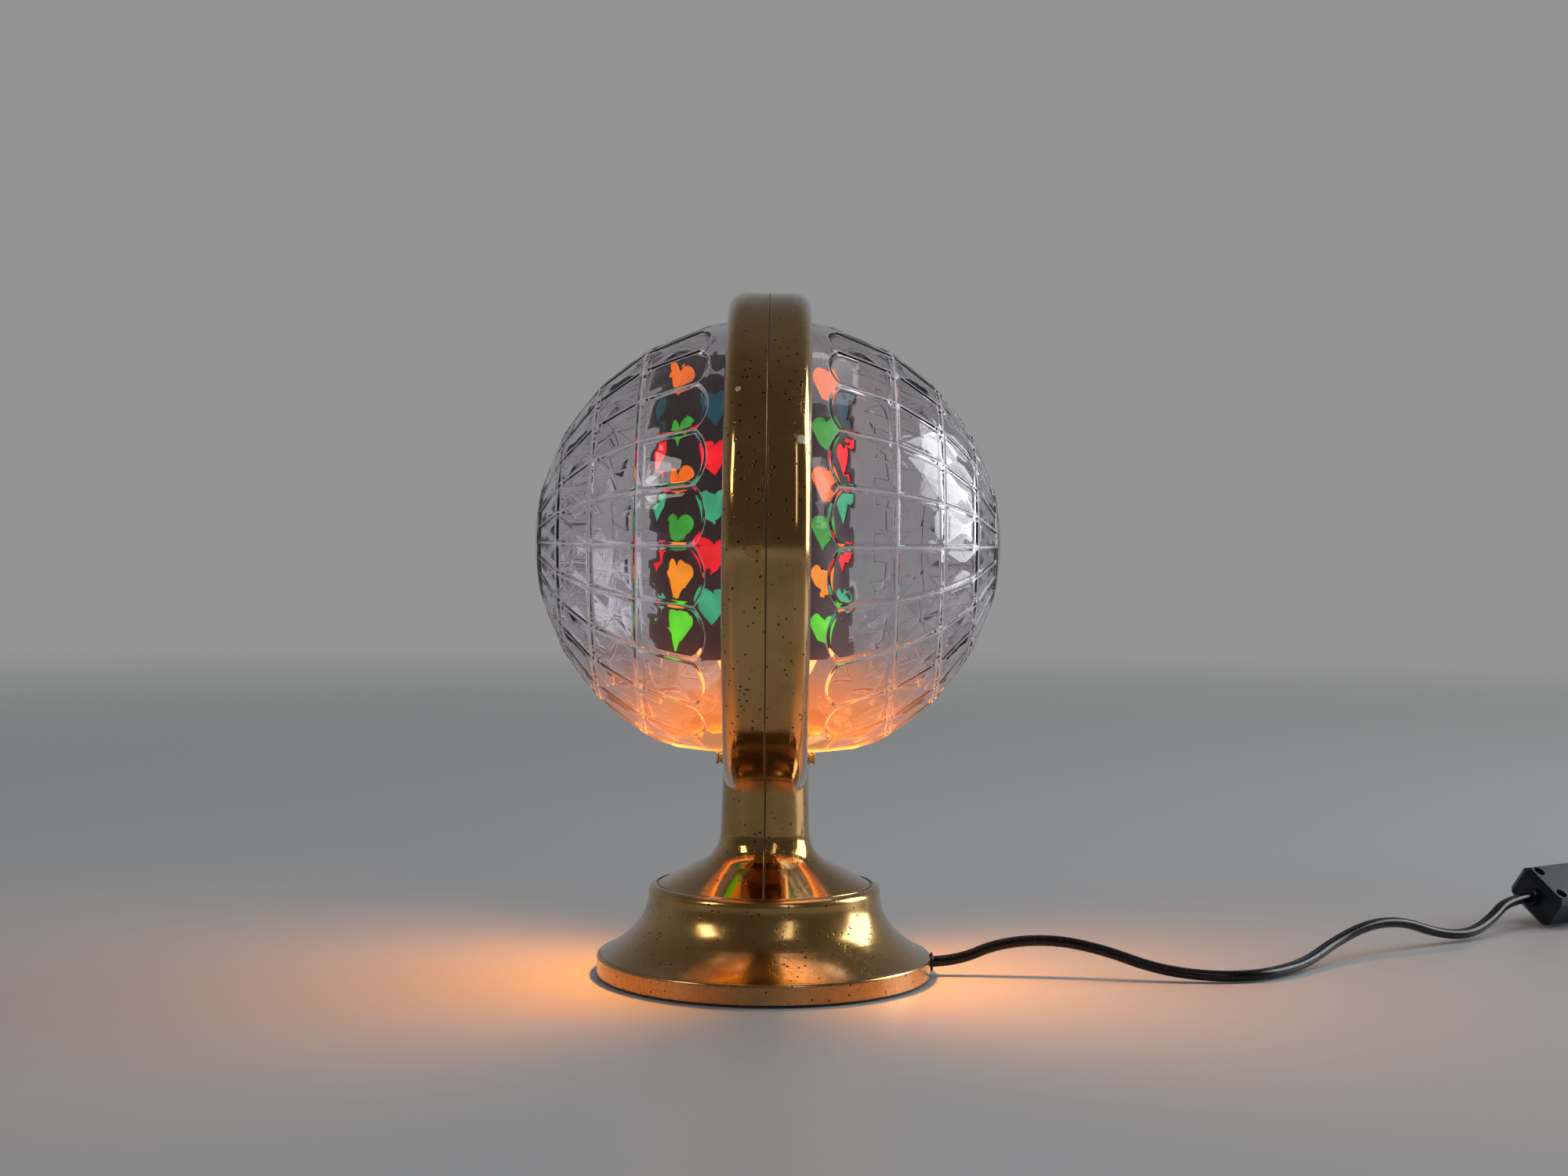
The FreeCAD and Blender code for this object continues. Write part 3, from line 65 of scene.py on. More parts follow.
def add_object(name, data):
    thing = bpy.data.objects.new(name, data)
    bpy.context.scene.collection.objects.link(thing)
    return thing


def make_camera():
    data = bpy.data.cameras.new("camera")
    data.lens = LENS
    data.sensor_width = FILM_WIDE
    data.clip_start = NEAREST_SEEN
    camera = add_object("camera", data)
    camera.location = CAMERA_PLACE
    camera.rotation_euler = (math.radians(90 - CAMERA_DOWN), math.radians(CAMERA_ROLL), 0)
    bpy.context.scene.camera = camera


make_camera()
print("camera stands", round(CAMERA_PLACE.length, 3), "m from the lamp's foot")

# %% [markdown]
# ## The lead
#
# A lamp lead of this age is a flat twin cable: wider than it is thick, glossy and fairly stiff.
# A curve that follows listed points, swept with a flattened round section, gives exactly
# that. The curve type matters: a NURBS curve only leans towards its points, so it bends
# as softly as a real cable does, while a curve forced through every point looks like bent wire.

# %% Section and route
CABLE_WIDE = 5.4 * MM
CABLE_THICK = 4.7 * MM
SECTION_STEPS = 28
SECTION_ROUND = 0.75
# The valley between the two wires: its depth as a share of the thickness, and its width
VALLEY = 0.16


def cable_section():
    curve = bpy.data.curves.new("cable_section", "CURVE")
    curve.dimensions = "2D"
    line = curve.splines.new("POLY")
    line.points.add(SECTION_STEPS - 1)
    for index, point in enumerate(line.points):
        angle = 2 * math.pi * index / SECTION_STEPS
        across = math.cos(angle)
        valley = 1 - VALLEY * math.exp(-((across / VALLEY) ** 2))
        up = math.copysign(abs(math.sin(angle)) ** SECTION_ROUND, math.sin(angle)) * valley
        point.co = (across * CABLE_WIDE / 2, up * CABLE_THICK / 2, 0, 1)
    line.use_cyclic_u = True
    return add_object("cable_section", curve)


def route_curve(name, route):
    curve = bpy.data.curves.new(name, "CURVE")
    curve.dimensions = "3D"
    curve.twist_mode = "Z_UP"
    curve.resolution_u = 6
    spline = curve.splines.new("NURBS")
    spline.points.add(len(route) - 1)
    for point, place in zip(spline.points, route):
        point.co = (place[0] * MM, place[1] * MM, place[2] * MM, 1)
    spline.order_u = 3
    spline.use_endpoint_u = True
    return curve


print("the cable is", round(CABLE_WIDE / MM, 1), "by", round(CABLE_THICK / MM, 1), "mm")

# %% [markdown]
# ### Sweeping the section
#
# Blender sweeps the section along the route as the route's bevel. The result is turned into a
# mesh, because a mesh can be measured and exported as it is. The smooth line that the cable
# follows is read from the same curve before it has its section, and gives the cable's length.

# %% Sweep the section along a route
def flat_cable(name, route):
    section = cable_section()
    curve = route_curve(name + "_route", route)
    holder = add_object(name + "_holder", curve)
    bare = bpy.data.meshes.new_from_object(holder)
    path = [tuple(vertex.co) for vertex in bare.vertices]
    curve.bevel_mode = "OBJECT"
    curve.bevel_object = section
    curve.use_fill_caps = True
    bpy.context.view_layer.update()
    shaped = holder.evaluated_get(bpy.context.evaluated_depsgraph_get())
    mesh = bpy.data.meshes.new_from_object(shaped)
    mesh.name = name
    cable = add_object(name, mesh)
    bpy.data.objects.remove(holder)
    bpy.data.objects.remove(section)
    for face in mesh.polygons:
        face.use_smooth = len(face.vertices) == 4
    long = sum((Vector(b) - Vector(a)).length for a, b in zip(path, path[1:]))
    print(name, "is", round(long, 3), "m long with", len(mesh.polygons), "faces")
    return cable, path, long


# %% [markdown]
# ### From the base to the switch
#
# The lead rises in a long hump as it leaves the base, comes down on the table, turns away,
# humps again and climbs to the switch, which stands on its lower edge. The points are placed
# in millimetres where the photograph shows the lead.

# %% Lead from the base to the switch
SWITCH_START = Vector((374.5, 137.0, 14.6))
SWITCH_LONG = 64.0
SWITCH_ALONG = Vector((0.82, 0.572, 0)).normalized()
LEVEL_RUN = 17
near_switch = SWITCH_START - LEVEL_RUN * SWITCH_ALONG
lead_route = [
    (69.2, 0, 6), (83, 0, 6.2), (101, -1, 14.6), (124, -3, 17), (146, -6, 13.2), (168, -8.5, 5.6),
    (190, -10, 2.9), (210, -8, 2.8), (228, 7, 2.8), (243, 27, 3.5), (258, 46, 8.2), (277, 60.5, 14),
    (296, 73.5, 13.2), (316, 87, 5.2), (334, 98, 2.9), (349, 113.5, 7.5),
    tuple(near_switch), tuple(SWITCH_START),
]
lead_to_switch, lead_path, lead_long = flat_cable("lead_to_switch", lead_route)
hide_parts("cord_to_switch")
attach(lead_to_switch, "stand")

# %% [markdown]
# ### Turns of the coil
#
# What the photograph doesn't show of the lead is put away as in a cupboard: wound three times
# inwards, then three times outwards on top, and held by a tie. The turns are points of the same
# curve, worked out from the radius, which changes steadily with the turns.

# %% Turns of the coil
COIL_MIDDLE = 30.0
COIL_PITCH = 5.8
COIL_TURNS = 3
COIL_STEPS = 16
COIL_LOW = 3.65
ALL_TURNS = 2 * COIL_TURNS + 0.5
CORD_WIDTH = 5.2
SWITCH_TO_COIL = 46

outside = COIL_MIDDLE + COIL_PITCH * COIL_TURNS / 2
inside = COIL_MIDDLE - COIL_PITCH * COIL_TURNS / 2
switch_end = SWITCH_START + SWITCH_LONG * SWITCH_ALONG
coil_entry = switch_end + SWITCH_TO_COIL * SWITCH_ALONG
coil_entry.z = COIL_LOW
coil_first = coil_entry + CORD_WIDTH * SWITCH_ALONG
coil_centre = coil_first + Vector((SWITCH_ALONG.y, -SWITCH_ALONG.x, 0)) * outside
first_angle = math.atan2(*(coil_first - coil_centre).yx)
last_angle = first_angle - 2 * math.pi * ALL_TURNS


def coil_point(turn):
    if turn < COIL_TURNS:
        radius = outside - COIL_PITCH * turn
        lift = 0.0
    elif turn <= COIL_TURNS + 0.5:
        share = (turn - COIL_TURNS) * 2
        radius = inside - COIL_PITCH / (2 * math.pi) * math.sin(math.pi * share)
        lift = COIL_PITCH * (1 - math.cos(math.pi * share)) / 2
    else:
        radius = inside + COIL_PITCH * (turn - COIL_TURNS - 0.5)
        lift = COIL_PITCH
    # The curve cuts inside its points, so they stand a little further out
    radius /= math.cos(math.pi / COIL_STEPS)
    angle = first_angle - 2 * math.pi * turn
    return coil_centre + Vector((math.cos(angle) * radius, math.sin(angle) * radius, lift))


coil_points = [coil_point(step / COIL_STEPS) for step in range(1, int(ALL_TURNS * COIL_STEPS))]
print("the coil has", ALL_TURNS, "turns on", len(coil_points), "points")

# %% [markdown]
# ### From the switch to the plug
#
# The second stretch sinks from the switch to the table, goes through the coil, leaves its upper
# turn in a straight line and comes down to the plug. The plug, its pins and the tie are solids of
# the imported model.

# %% Lead from the switch through the coil to the plug
COIL_TO_PLUG = 36
PLUG_REST = 6.85


def lowered(place, drop):
    return tuple(place - Vector((0, 0, drop)))


coil_end = coil_centre + Vector((math.cos(last_angle), math.sin(last_angle), 0)) * outside
coil_end.z = COIL_LOW + COIL_PITCH
leave = Vector((math.sin(last_angle), -math.cos(last_angle), 0))
coil_out = coil_end + leave * CORD_WIDTH
plug_start = coil_out + leave * COIL_TO_PLUG
plug_start.z = PLUG_REST
supply_route = [
    tuple(switch_end), lowered(switch_end + 14 * SWITCH_ALONG, 0.6),
    lowered(switch_end + 31 * SWITCH_ALONG, switch_end.z - COIL_LOW - 0.4),
    tuple(coil_entry), tuple(coil_first),
]
supply_route += [tuple(point) for point in coil_points]
supply_route += [
    tuple(coil_end), tuple(coil_out), lowered(coil_out + 14 * leave, 0.2),
    lowered(coil_out + 24 * leave, coil_out.z - PLUG_REST - 0.1), tuple(plug_start),
]
supply_lead, supply_path, supply_long = flat_cable("supply_lead", supply_route)
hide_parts("cord_to_coil", "cord_coil", "cord_to_plug")
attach(supply_lead, "stand")

# %% [markdown]
# ## Node helpers
#
# Every material below is a small network of nodes. Writing out each node and link by hand hides
# the idea under bookkeeping, so a few helpers do it. Helpers are chosen over one big material,
# because each finish can then be read as a few lines. The first ones add a node, fill its
# sockets, start a new material, and give the place on the object and its three axes.

# %% Nodes and sockets
def feed(tree, socket, value):
    # A number or a colour is typed into the socket, and another node's output is linked to it
    if isinstance(value, (int, float, tuple)):
        socket.default_value = value
    else:
        tree.links.new(value, socket)


def set_inputs(tree, node, **values):
    for title, value in values.items():
        feed(tree, node.inputs[title.replace("_", " ")], value)


def add_node(tree, kind, **settings):
    # A socket's name begins with a capital, and a setting of the node itself with a small letter
    node = tree.nodes.new("ShaderNode" + kind)
    for title, value in settings.items():
        if title[0].isupper():
            set_inputs(tree, node, **{title: value})
        else:
            setattr(node, title, value)
    return node


def place_of(tree):
    return add_node(tree, "TexCoord").outputs["Object"]


def axes_of(tree, place):
    return add_node(tree, "SeparateXYZ", Vector=place).outputs


def new_material(name):
    material = bpy.data.materials.new(name)
    material.use_nodes = True
    tree = material.node_tree
    return material, tree, tree.nodes["Principled BSDF"]


# %% [markdown]
# ### Arithmetic and mixes
#
# The next helpers do arithmetic, measure how far a place is from a spot, map a range of numbers
# to another, and mix two colours or two shaders. A smooth range makes soft edges, as paint and
# wear have, and a straight one keeps the numbers in proportion.

# %% Arithmetic and mixes
def math_node(tree, operation, *values, clamp=False):
    node = add_node(tree, "Math", operation=operation, use_clamp=clamp)
    for socket, value in zip(node.inputs, values):
        feed(tree, socket, value)
    return node.outputs[0]


def plus(tree, first, second):
    return math_node(tree, "ADD", first, second)


def minus(tree, first, second):
    return math_node(tree, "SUBTRACT", first, second)


def times(tree, first, *others):
    for other in others:
        first = math_node(tree, "MULTIPLY", first, other)
    return first


def map_range(tree, value, low, high, out_low=0.0, out_high=1.0, smooth=True):
    node = add_node(tree, "MapRange", interpolation_type="SMOOTHSTEP" if smooth else "LINEAR",
                    Value=value, From_Min=low, From_Max=high, To_Min=out_low, To_Max=out_high)
    return node.outputs["Result"]


def gap_between(tree, place, spot):
    node = add_node(tree, "VectorMath", operation="DISTANCE")
    feed(tree, node.inputs[0], place)
    feed(tree, node.inputs[1], spot)
    return node.outputs["Value"]


def mix_colours(tree, factor, first, second, blend="MIX"):
    node = add_node(tree, "Mix", data_type="RGBA", blend_type=blend, Factor=factor)
    # The sockets for two colours are the seventh and eighth of this node's inputs
    feed(tree, node.inputs[6], first)
    feed(tree, node.inputs[7], second)
    return node.outputs[2]


def mix_shaders(tree, factor, first, second):
    node = add_node(tree, "MixShader")
    for socket, value in zip(node.inputs, (factor, first, second)):
        feed(tree, socket, value)
    return node.outputs[0]


# %% [markdown]
# ## Floor
#
# The lamp stands on a plain pale floor. A cube or a plane would do, but both end in a line that
# crosses the picture, so this is a wide disc whose paint fades into the even colour of the
# background with distance. Near the lamp it is an ordinary surface that takes light and shadow.

# %% Floor
FLOOR_RADIUS = 9.0
FLOOR_PAINT = (0.33, 0.33, 0.33, 1)
BACKGROUND = (0.29, 0.295, 0.29, 1)
FADE_FROM = 0.6
FADE_TO = 2.6


def make_floor():
    build = bmesh.new()
    bmesh.ops.create_circle(build, cap_ends=True, radius=FLOOR_RADIUS, segments=96)
    mesh = bpy.data.meshes.new("floor")
    build.to_mesh(mesh)
    build.free()
    floor = add_object("floor", mesh)
    material, tree, surface = new_material("floor_paint")
    set_inputs(tree, surface, Base_Color=FLOOR_PAINT, Roughness=0.42, Specular_IOR_Level=0.35)
    even = add_node(tree, "Emission", Color=BACKGROUND).outputs[0]
    far = map_range(tree, gap_between(tree, place_of(tree), (0, 0, 0)), FADE_FROM, FADE_TO)
    faded = mix_shaders(tree, far, surface.outputs[0], even)
    set_inputs(tree, tree.nodes["Material Output"], Surface=faded)
    mesh.materials.append(material)


make_floor()
print("floor fades out between", FADE_FROM, "and", FADE_TO, "m")

# %% [markdown]
# ## World
#
# A mirror-like object shows its room, so the room matters as much as the finish. The world gives
# a different colour to each kind of ray: even grey to the camera, soft light to surfaces, and to
# mirrors a room that is dim in front and lighter behind.

# %% World
SOFT_LIGHT = (0.25, 0.265, 0.285, 1)
ROOM_IN_FRONT = (0.095, 0.092, 0.090, 1)
ROOM_BEHIND = (0.26, 0.27, 0.28, 1)


def make_world():
    world = bpy.data.worlds.new("room")
    bpy.context.scene.world = world
    world.use_nodes = True
    tree = world.node_tree
    light = tree.nodes["Background"]
    set_inputs(tree, light, Color=SOFT_LIGHT)
    # What mirrors see grows lighter towards the back of the room, but not high up under its ceiling
    direction = axes_of(tree, add_node(tree, "TexCoord").outputs["Generated"])
    behind = map_range(tree, direction["Y"], -0.6, 0.7)
    below_ceiling = map_range(tree, direction["Z"], 0.2, 0.8, 1.0, 0.3)
    room = mix_colours(tree, times(tree, behind, below_ceiling), ROOM_IN_FRONT, ROOM_BEHIND)
    mirrored = add_node(tree, "Background", Color=room).outputs[0]
    seen = add_node(tree, "Background", Color=BACKGROUND).outputs[0]
    rays = add_node(tree, "LightPath").outputs
    around = mix_shaders(tree, rays["Is Glossy Ray"], light.outputs[0], mirrored)
    straight = math_node(tree, "ADD", rays["Is Camera Ray"], rays["Is Transmission Ray"], clamp=True)
    set_inputs(tree, tree.nodes["World Output"], Surface=mix_shaders(tree, straight, around, seen))


make_world()
bpy.context.scene.view_settings.view_transform = "Standard"
print("world:", bpy.context.scene.world.name)

# %% [markdown]
# ## Soft lamps
#
# A tall soft lamp like a window stands to the right and a little behind, where the highlights on
# the right dome come from. A narrow one like a doorway draws the upright line on the neck, a weak
# one fills the left side, and one under the ceiling lights the top without showing in mirrors.

# %% Soft lamps
def hang_lamp(name, data, place, aim, power, colour):
    data.energy = power
    data.color = colour
    lamp = add_object(name, data)
    lamp.location = place
    lamp.rotation_euler = (Vector(aim) - Vector(place)).to_track_quat("-Z", "Y").to_euler()
    return lamp


def soft_lamp(name, place, aim, size, power, colour, mirrored=True):
    data = bpy.data.lights.new(name, "AREA")
    data.shape = "RECTANGLE"
    data.size, data.size_y = size
    lamp = hang_lamp(name, data, place, aim, power, colour)
    lamp.visible_glossy = mirrored
    print("lamp", name, "gives", power, "W")


soft_lamp("window", place=(1.65, 0.45, 0.72), aim=(0, 0, 0.17), size=(0.95, 1.2),
          power=20, colour=(0.93, 0.97, 1.0))
soft_lamp("room", place=(-1.5, -0.9, 1.1), aim=(0, 0, 0.15), size=(0.45, 0.7),
          power=5, colour=(1.0, 0.98, 0.95))
soft_lamp("doorway", place=(0.7, -1.5, 1.0), aim=(0, 0, 0.15), size=(0.22, 1.1),
          power=1.8, colour=(1.0, 0.98, 0.94))
soft_lamp("ceiling", place=(0.3, 0.2, 2.0), aim=(0, 0, 0.1), size=(1.2, 1.2),
          power=11, colour=(1.0, 1.0, 1.0), mirrored=False)

# %% [markdown]
# ## Light of the bulb
#
# The bulb throws two warm pools on the table, left and right, through the open bottoms of the
# domes, while the ring and the base keep the middle dark. Tracing that light through the real
# bulb and the curved plastic is slow and grainy. Two wide spot lamps at the bulb's place, which
# aim down and out, give the same pools cleanly, and the bulb's own glow is left to its material.

# %% Light of the bulb
BULB_ORANGE = (1.0, 0.36, 0.055)
BULB_POWER = 3.3
BULB_SOFTNESS = 10 * MM
BULB_HEIGHT = 126 * MM
SPOT_ANGLE = 125
SPOT_OUT = 31 * MM
# Each lamp aims at this place on the table, left or right
POOL_OUT = 150 * MM
POOL_FRONT = -20 * MM


def bulb_light(name, side):
    # Mirrors, lenses and the camera see the bulb itself instead of this lamp
    data = bpy.data.lights.new(name, "SPOT")
    data.shadow_soft_size = BULB_SOFTNESS
    data.spot_size = math.radians(SPOT_ANGLE)
    data.spot_blend = 1.0
    place = (SPOT_OUT * side, 0, BULB_HEIGHT)
    aim = (POOL_OUT * side, POOL_FRONT, 0)
    lamp = hang_lamp(name, data, place, aim, BULB_POWER, BULB_ORANGE)
    lamp.visible_glossy = False
    lamp.visible_transmission = False
    lamp.visible_camera = False


bulb_light("bulb_light_left", -1)
bulb_light("bulb_light_right", 1)

# %% [markdown]
# ## Shared effects
#
# Several finishes share the same kinds of wear: tiny pits in the plating, fine scratches, slow
# changes of tone, and the grain of moulded plastic. Each is a node group, so that one effect can
# be placed in several materials with different values. A group here puts out only masks and
# heights, and the shader stays in the material.

# %% Group tools
def new_group(name, amounts, results):
    group = bpy.data.node_groups.new(name, "ShaderNodeTree")
    sockets = group.interface
    sockets.new_socket("Place", in_out="INPUT", socket_type="NodeSocketVector")
    for title, value in amounts.items():
        amount = sockets.new_socket(title, in_out="INPUT", socket_type="NodeSocketFloat")
        amount.default_value = value
    for title in results:
        sockets.new_socket(title, in_out="OUTPUT", socket_type="NodeSocketFloat")
    print("group", name, "gives", ", ".join(results))
    return group, group.nodes.new("NodeGroupInput").outputs, group.nodes.new("NodeGroupOutput")


def use_group(tree, group, **values):
    node = tree.nodes.new("ShaderNodeGroup")
    node.node_tree = group
    set_inputs(tree, node, **values)
    return node.outputs


def noise(tree, place, scale, detail=2.0, rough=0.5, stretch=None):
    if stretch is not None:
        place = add_node(tree, "Mapping", Vector=place, Scale=stretch).outputs["Vector"]
    node = add_node(tree, "TexNoise", Vector=place, Scale=scale, Detail=detail, Roughness=rough)
    return node.outputs["Fac"]


def hairlines(tree, place, stretch):
    # Noise that is stretched thin and cut off high leaves only fine lines along one direction
    return map_range(tree, noise(tree, place, 1.0, detail=0.0, stretch=stretch), 0.70, 0.74)


# %% [markdown]
# ### Wear of plated plastic
#
# Old plating has three kinds of marks: specks where it has come off, which are round, small and
# gathered in patches; hairline scratches; and a slow drift of tone. Specks come from the distance
# to scattered points, scratches from noise stretched thin in three directions, and tone and haze
# from plain noise. A height output lets a bump show the same marks that the colours show.

# %% Wear of plated plastic
SPECKS_PER_METRE = 330.0
RIPPLE_HEIGHT = 0.35
PIT_DEPTH = 0.3
SCRATCH_DEPTH = 0.12
SCRATCH_DIRECTIONS = ((1900.0, 160.0, 60.0), (90.0, 1500.0, 260.0), (600.0, 130.0, 1500.0))


def make_plating_wear():
    group, start, end = new_group("plating_wear", {"Pits": 0.5, "Scratches": 0.5},
                                  ("Tone", "Pit", "Scratch", "Height", "Haze"))
    place = start["Place"]
    cells = add_node(group, "TexVoronoi", Vector=place, Scale=SPECKS_PER_METRE).outputs
    dots = map_range(group, cells["Distance"], 0.12, 0.22, 1.0, 0.0)
    # Each cell has a colour of its own, by which some cells are left without a speck
    chosen = add_node(group, "SeparateColor", Color=cells["Color"]).outputs[0]
    kept = map_range(group, chosen, 0.20, 0.25)
    patches = map_range(group, noise(group, place, 34.0, detail=3.0), 0.38, 0.52)
    pits = times(group, dots, kept, patches, start["Pits"])
    lines = [hairlines(group, place, stretch) for stretch in SCRATCH_DIRECTIONS]
    scratch = math_node(group, "MAXIMUM", math_node(group, "MAXIMUM", lines[0], lines[1]), lines[2])
    gathered = map_range(group, noise(group, place, 60.0), 0.5, 0.7)
    scratch = times(group, scratch, gathered, start["Scratches"])
    ripple = noise(group, place, 45.0, detail=1.0)
    height = minus(group, times(group, ripple, RIPPLE_HEIGHT), times(group, pits, PIT_DEPTH))
    height = minus(group, height, times(group, scratch, SCRATCH_DEPTH))
    tone = noise(group, place, 26.0, detail=4.0, rough=0.6)
    haze = map_range(group, noise(group, place, 90.0, detail=5.0, rough=0.7), 0.35, 0.75)
    set_inputs(group, end, Tone=tone, Pit=pits, Scratch=scratch, Height=height, Haze=haze)
    return group


plating_wear = make_plating_wear()

# %% [markdown]
# ### Grain of moulded plastic
#
# Moulded plastic and cast metal are never quite even: they have a fine grain from the mould, rub
# marks on top and a few scratches. One group serves the switch, the plug, the lead, the drum and
# the plain metals, each with a grain of its own size.

# %% Grain of moulded plastic
RUB_SHARE = 0.5
MARK_HEIGHT = -0.6


def make_moulded_grain():
    group, start, end = new_group("moulded_grain", {"Scale": 900.0}, ("Grain", "Wear", "Height"))
    place = start["Place"]
    fine = noise(group, place, start["Scale"], detail=3.0)
    rubbed = map_range(group, noise(group, place, 70.0, detail=5.0, rough=0.65), 0.45, 0.75)
    marks = hairlines(group, place, (1400.0, 120.0, 200.0))
    wear = math_node(group, "MAXIMUM", times(group, rubbed, RUB_SHARE), marks)
    height = plus(group, fine, times(group, marks, MARK_HEIGHT))
    set_inputs(group, end, Grain=fine, Wear=wear, Height=height)
    return group


moulded_grain = make_moulded_grain()

# %% [markdown]
# ### Bump
#
# Marks that are too fine to model are shaded as if they had depth. The depth is given in metres,
# so it can be kept as small as the real mark: tenths or hundredths of a millimetre.

# %% Bump tool
def bump(tree, height, surface, depth, strength):
    node = add_node(tree, "Bump", Height=height, Distance=depth, Strength=strength)
    set_inputs(tree, surface, Normal=node.outputs["Normal"])


# %% [markdown]
# ## Gold plating
#
# The ring, neck, disc and base are plastic with a bright metal skin, tinted gold. It mirrors the
# room, a little unevenly because the plastic below isn't perfectly flat. What age has left on it
# is laid over the clean finish one mark after another: each has a mask, a colour, and a share in
# how rough, how high and how metallic the skin is. The marks come first, as functions.

# %% Marks on the gold
COPPER = (0.44, 0.225, 0.085, 1)
PIT_BROWN = (0.008, 0.005, 0.003, 1)
BLISTER_RING = (0.50, 0.42, 0.28, 1)
SEAM_BLACK = (0.02, 0.013, 0.008, 1)
# The rim of the base begins to look copper at this height, and has turned fully at the other
RIM_BEGINS = 9.6 * MM
RIM_TURNED = 8.4 * MM
RIM_LINES = (1500.0, 1500.0, 110.0)
# The seam is black to this distance from the plane X = 0, and gone at the other
SEAM_BLACK_TO = 0.20 * MM
SEAM_GONE_AT = 0.46 * MM
# Blisters on the front of the ring: place and the radius of the bare spot, in metres
BLISTERS = [((0.0136, -0.0985, 0.2286), 0.0009), ((-0.0119, -0.0874, 0.2484), 0.0005)]
# Where the bare spot and the pale ring round it begin to end, and have ended, in such radii
BARE_ENDS = (0.8, 1.1)
RING_ENDS = (2.1, 2.6)


def lay_mark(tree, look, mask, colour, rougher=0.0, raised=0.0, metal=True):
    look["colour"] = mix_colours(tree, mask, look["colour"], colour)
    if rougher:
        look["roughness"] = plus(tree, look["roughness"], times(tree, mask, rougher))
    if raised:
        look["height"] = plus(tree, look["height"], times(tree, mask, raised))
    if not metal:
        look["metallic"] = times(tree, look["metallic"], minus(tree, 1.0, mask))


def rub_rim(tree, place, look):
    # The rim has been rubbed up and down, which leaves short upright lines in it
    low = map_range(tree, axes_of(tree, place)["Z"], RIM_BEGINS, RIM_TURNED)
    lines = map_range(tree, noise(tree, place, 1.0, stretch=RIM_LINES), 0.35, 0.65)
    worn = times(tree, low, map_range(tree, lines, 0.0, 1.0, 0.45, 0.75))
    lay_mark(tree, look, worn, COPPER, rougher=0.12)


def raise_blisters(tree, place, look):
    for spot, radius in BLISTERS:
        gap = gap_between(tree, place, spot)
        ring = map_range(tree, gap, radius * RING_ENDS[0], radius * RING_ENDS[1], 1.0, 0.0)
        bare = map_range(tree, gap, radius * BARE_ENDS[0], radius * BARE_ENDS[1], 1.0, 0.0)
        lay_mark(tree, look, ring, BLISTER_RING, rougher=0.3, raised=0.8, metal=False)
        lay_mark(tree, look, bare, PIT_BROWN)


def draw_seam(tree, place, look):
    away = math_node(tree, "ABSOLUTE", axes_of(tree, place)["X"])
    line = map_range(tree, away, SEAM_BLACK_TO, SEAM_GONE_AT, 1.0, 0.0)
    lay_mark(tree, look, line, SEAM_BLACK, rougher=0.4, raised=-1.5, metal=False)


# %% [markdown]
# ### The two gold finishes
#
# Two golds, which drift into each other, make the clean finish, and a clear lacquer over the
# metal makes highlights paler than what the metal mirrors. The base is duller than the stand and
# has the worn copper rim. The stand has the blisters, and the fine dark seam where its two halves
# meet in the plane X = 0. Both have the dark pits.

# %% Gold plating
GOLD_BRIGHT = (0.52, 0.305, 0.10, 1)
GOLD_DEEP = (0.42, 0.22, 0.055, 1)
HAZE_ROUGH = 0.07
SCRATCH_ROUGH = 0.25


def gold_plating(name, rough, seam=False, rim=False):
    material, tree, surface = new_material(name)
    place = place_of(tree)
    wear = use_group(tree, plating_wear, Place=place, Pits=1.0, Scratches=0.8)
    tone = map_range(tree, wear["Tone"], 0.35, 0.65)
    haze = map_range(tree, wear["Haze"], 0.0, 1.0, rough, rough + HAZE_ROUGH, smooth=False)
    look = {
        "colour": mix_colours(tree, tone, GOLD_DEEP, GOLD_BRIGHT),
        "roughness": plus(tree, haze, times(tree, wear["Scratch"], SCRATCH_ROUGH)),
        "height": wear["Height"],
        "metallic": 1.0,
    }
    if rim:
        rub_rim(tree, place, look)
    lay_mark(tree, look, wear["Pit"], PIT_BROWN)
    if seam:
        raise_blisters(tree, place, look)
        draw_seam(tree, place, look)
    set_inputs(tree, surface, Base_Color=look["colour"], Roughness=look["roughness"],
               Metallic=look["metallic"], Coat_Weight=0.7, Coat_Roughness=0.09)
    bump(tree, look["height"], surface, 0.22 * MM, 0.8)
    return material


def paint(material, *names):
    for name in names:
        mesh = nodes[name].data
        mesh.materials.clear()
        mesh.materials.append(material)
    print(material.name, "on", ", ".join(names))


base_gold = gold_plating("base_gold", rough=0.17, rim=True)
stand_gold = gold_plating("stand_gold", rough=0.09, seam=True)
paint(base_gold, "base_shell")
paint(stand_gold, "stand_half_left", "stand_half_right")

# %% [markdown]
# ## Plain metals
#
# Screws, nuts, the tube, the wire arch and the plate are zinc plated steel; the contacts and the
# bulb's cap are brass; the plug's pins are nickel plated. One function makes them all: a full
# metal whose roughness follows the grain, darkened where it is worn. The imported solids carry
# their own normals, so curved metal already looks round and their meshes are left alone.

# %% Plain metals
METAL_GRAIN = 400.0
WORN_METAL = 0.62


def plain_metal(name, colour, rough):
    material, tree, surface = new_material(name)
    moulded = use_group(tree, moulded_grain, Place=place_of(tree), Scale=METAL_GRAIN)
    dark = tuple(channel * WORN_METAL for channel in colour[:3]) + (1,)
    uneven = map_range(tree, moulded["Grain"], 0.2, 0.8, rough * 0.7, rough * 1.4)
    set_inputs(tree, surface, Base_Color=mix_colours(tree, moulded["Wear"], colour, dark),
               Metallic=1.0, Roughness=uneven)
    bump(tree, moulded["Height"], surface, 0.06 * MM, 0.5)
    return material


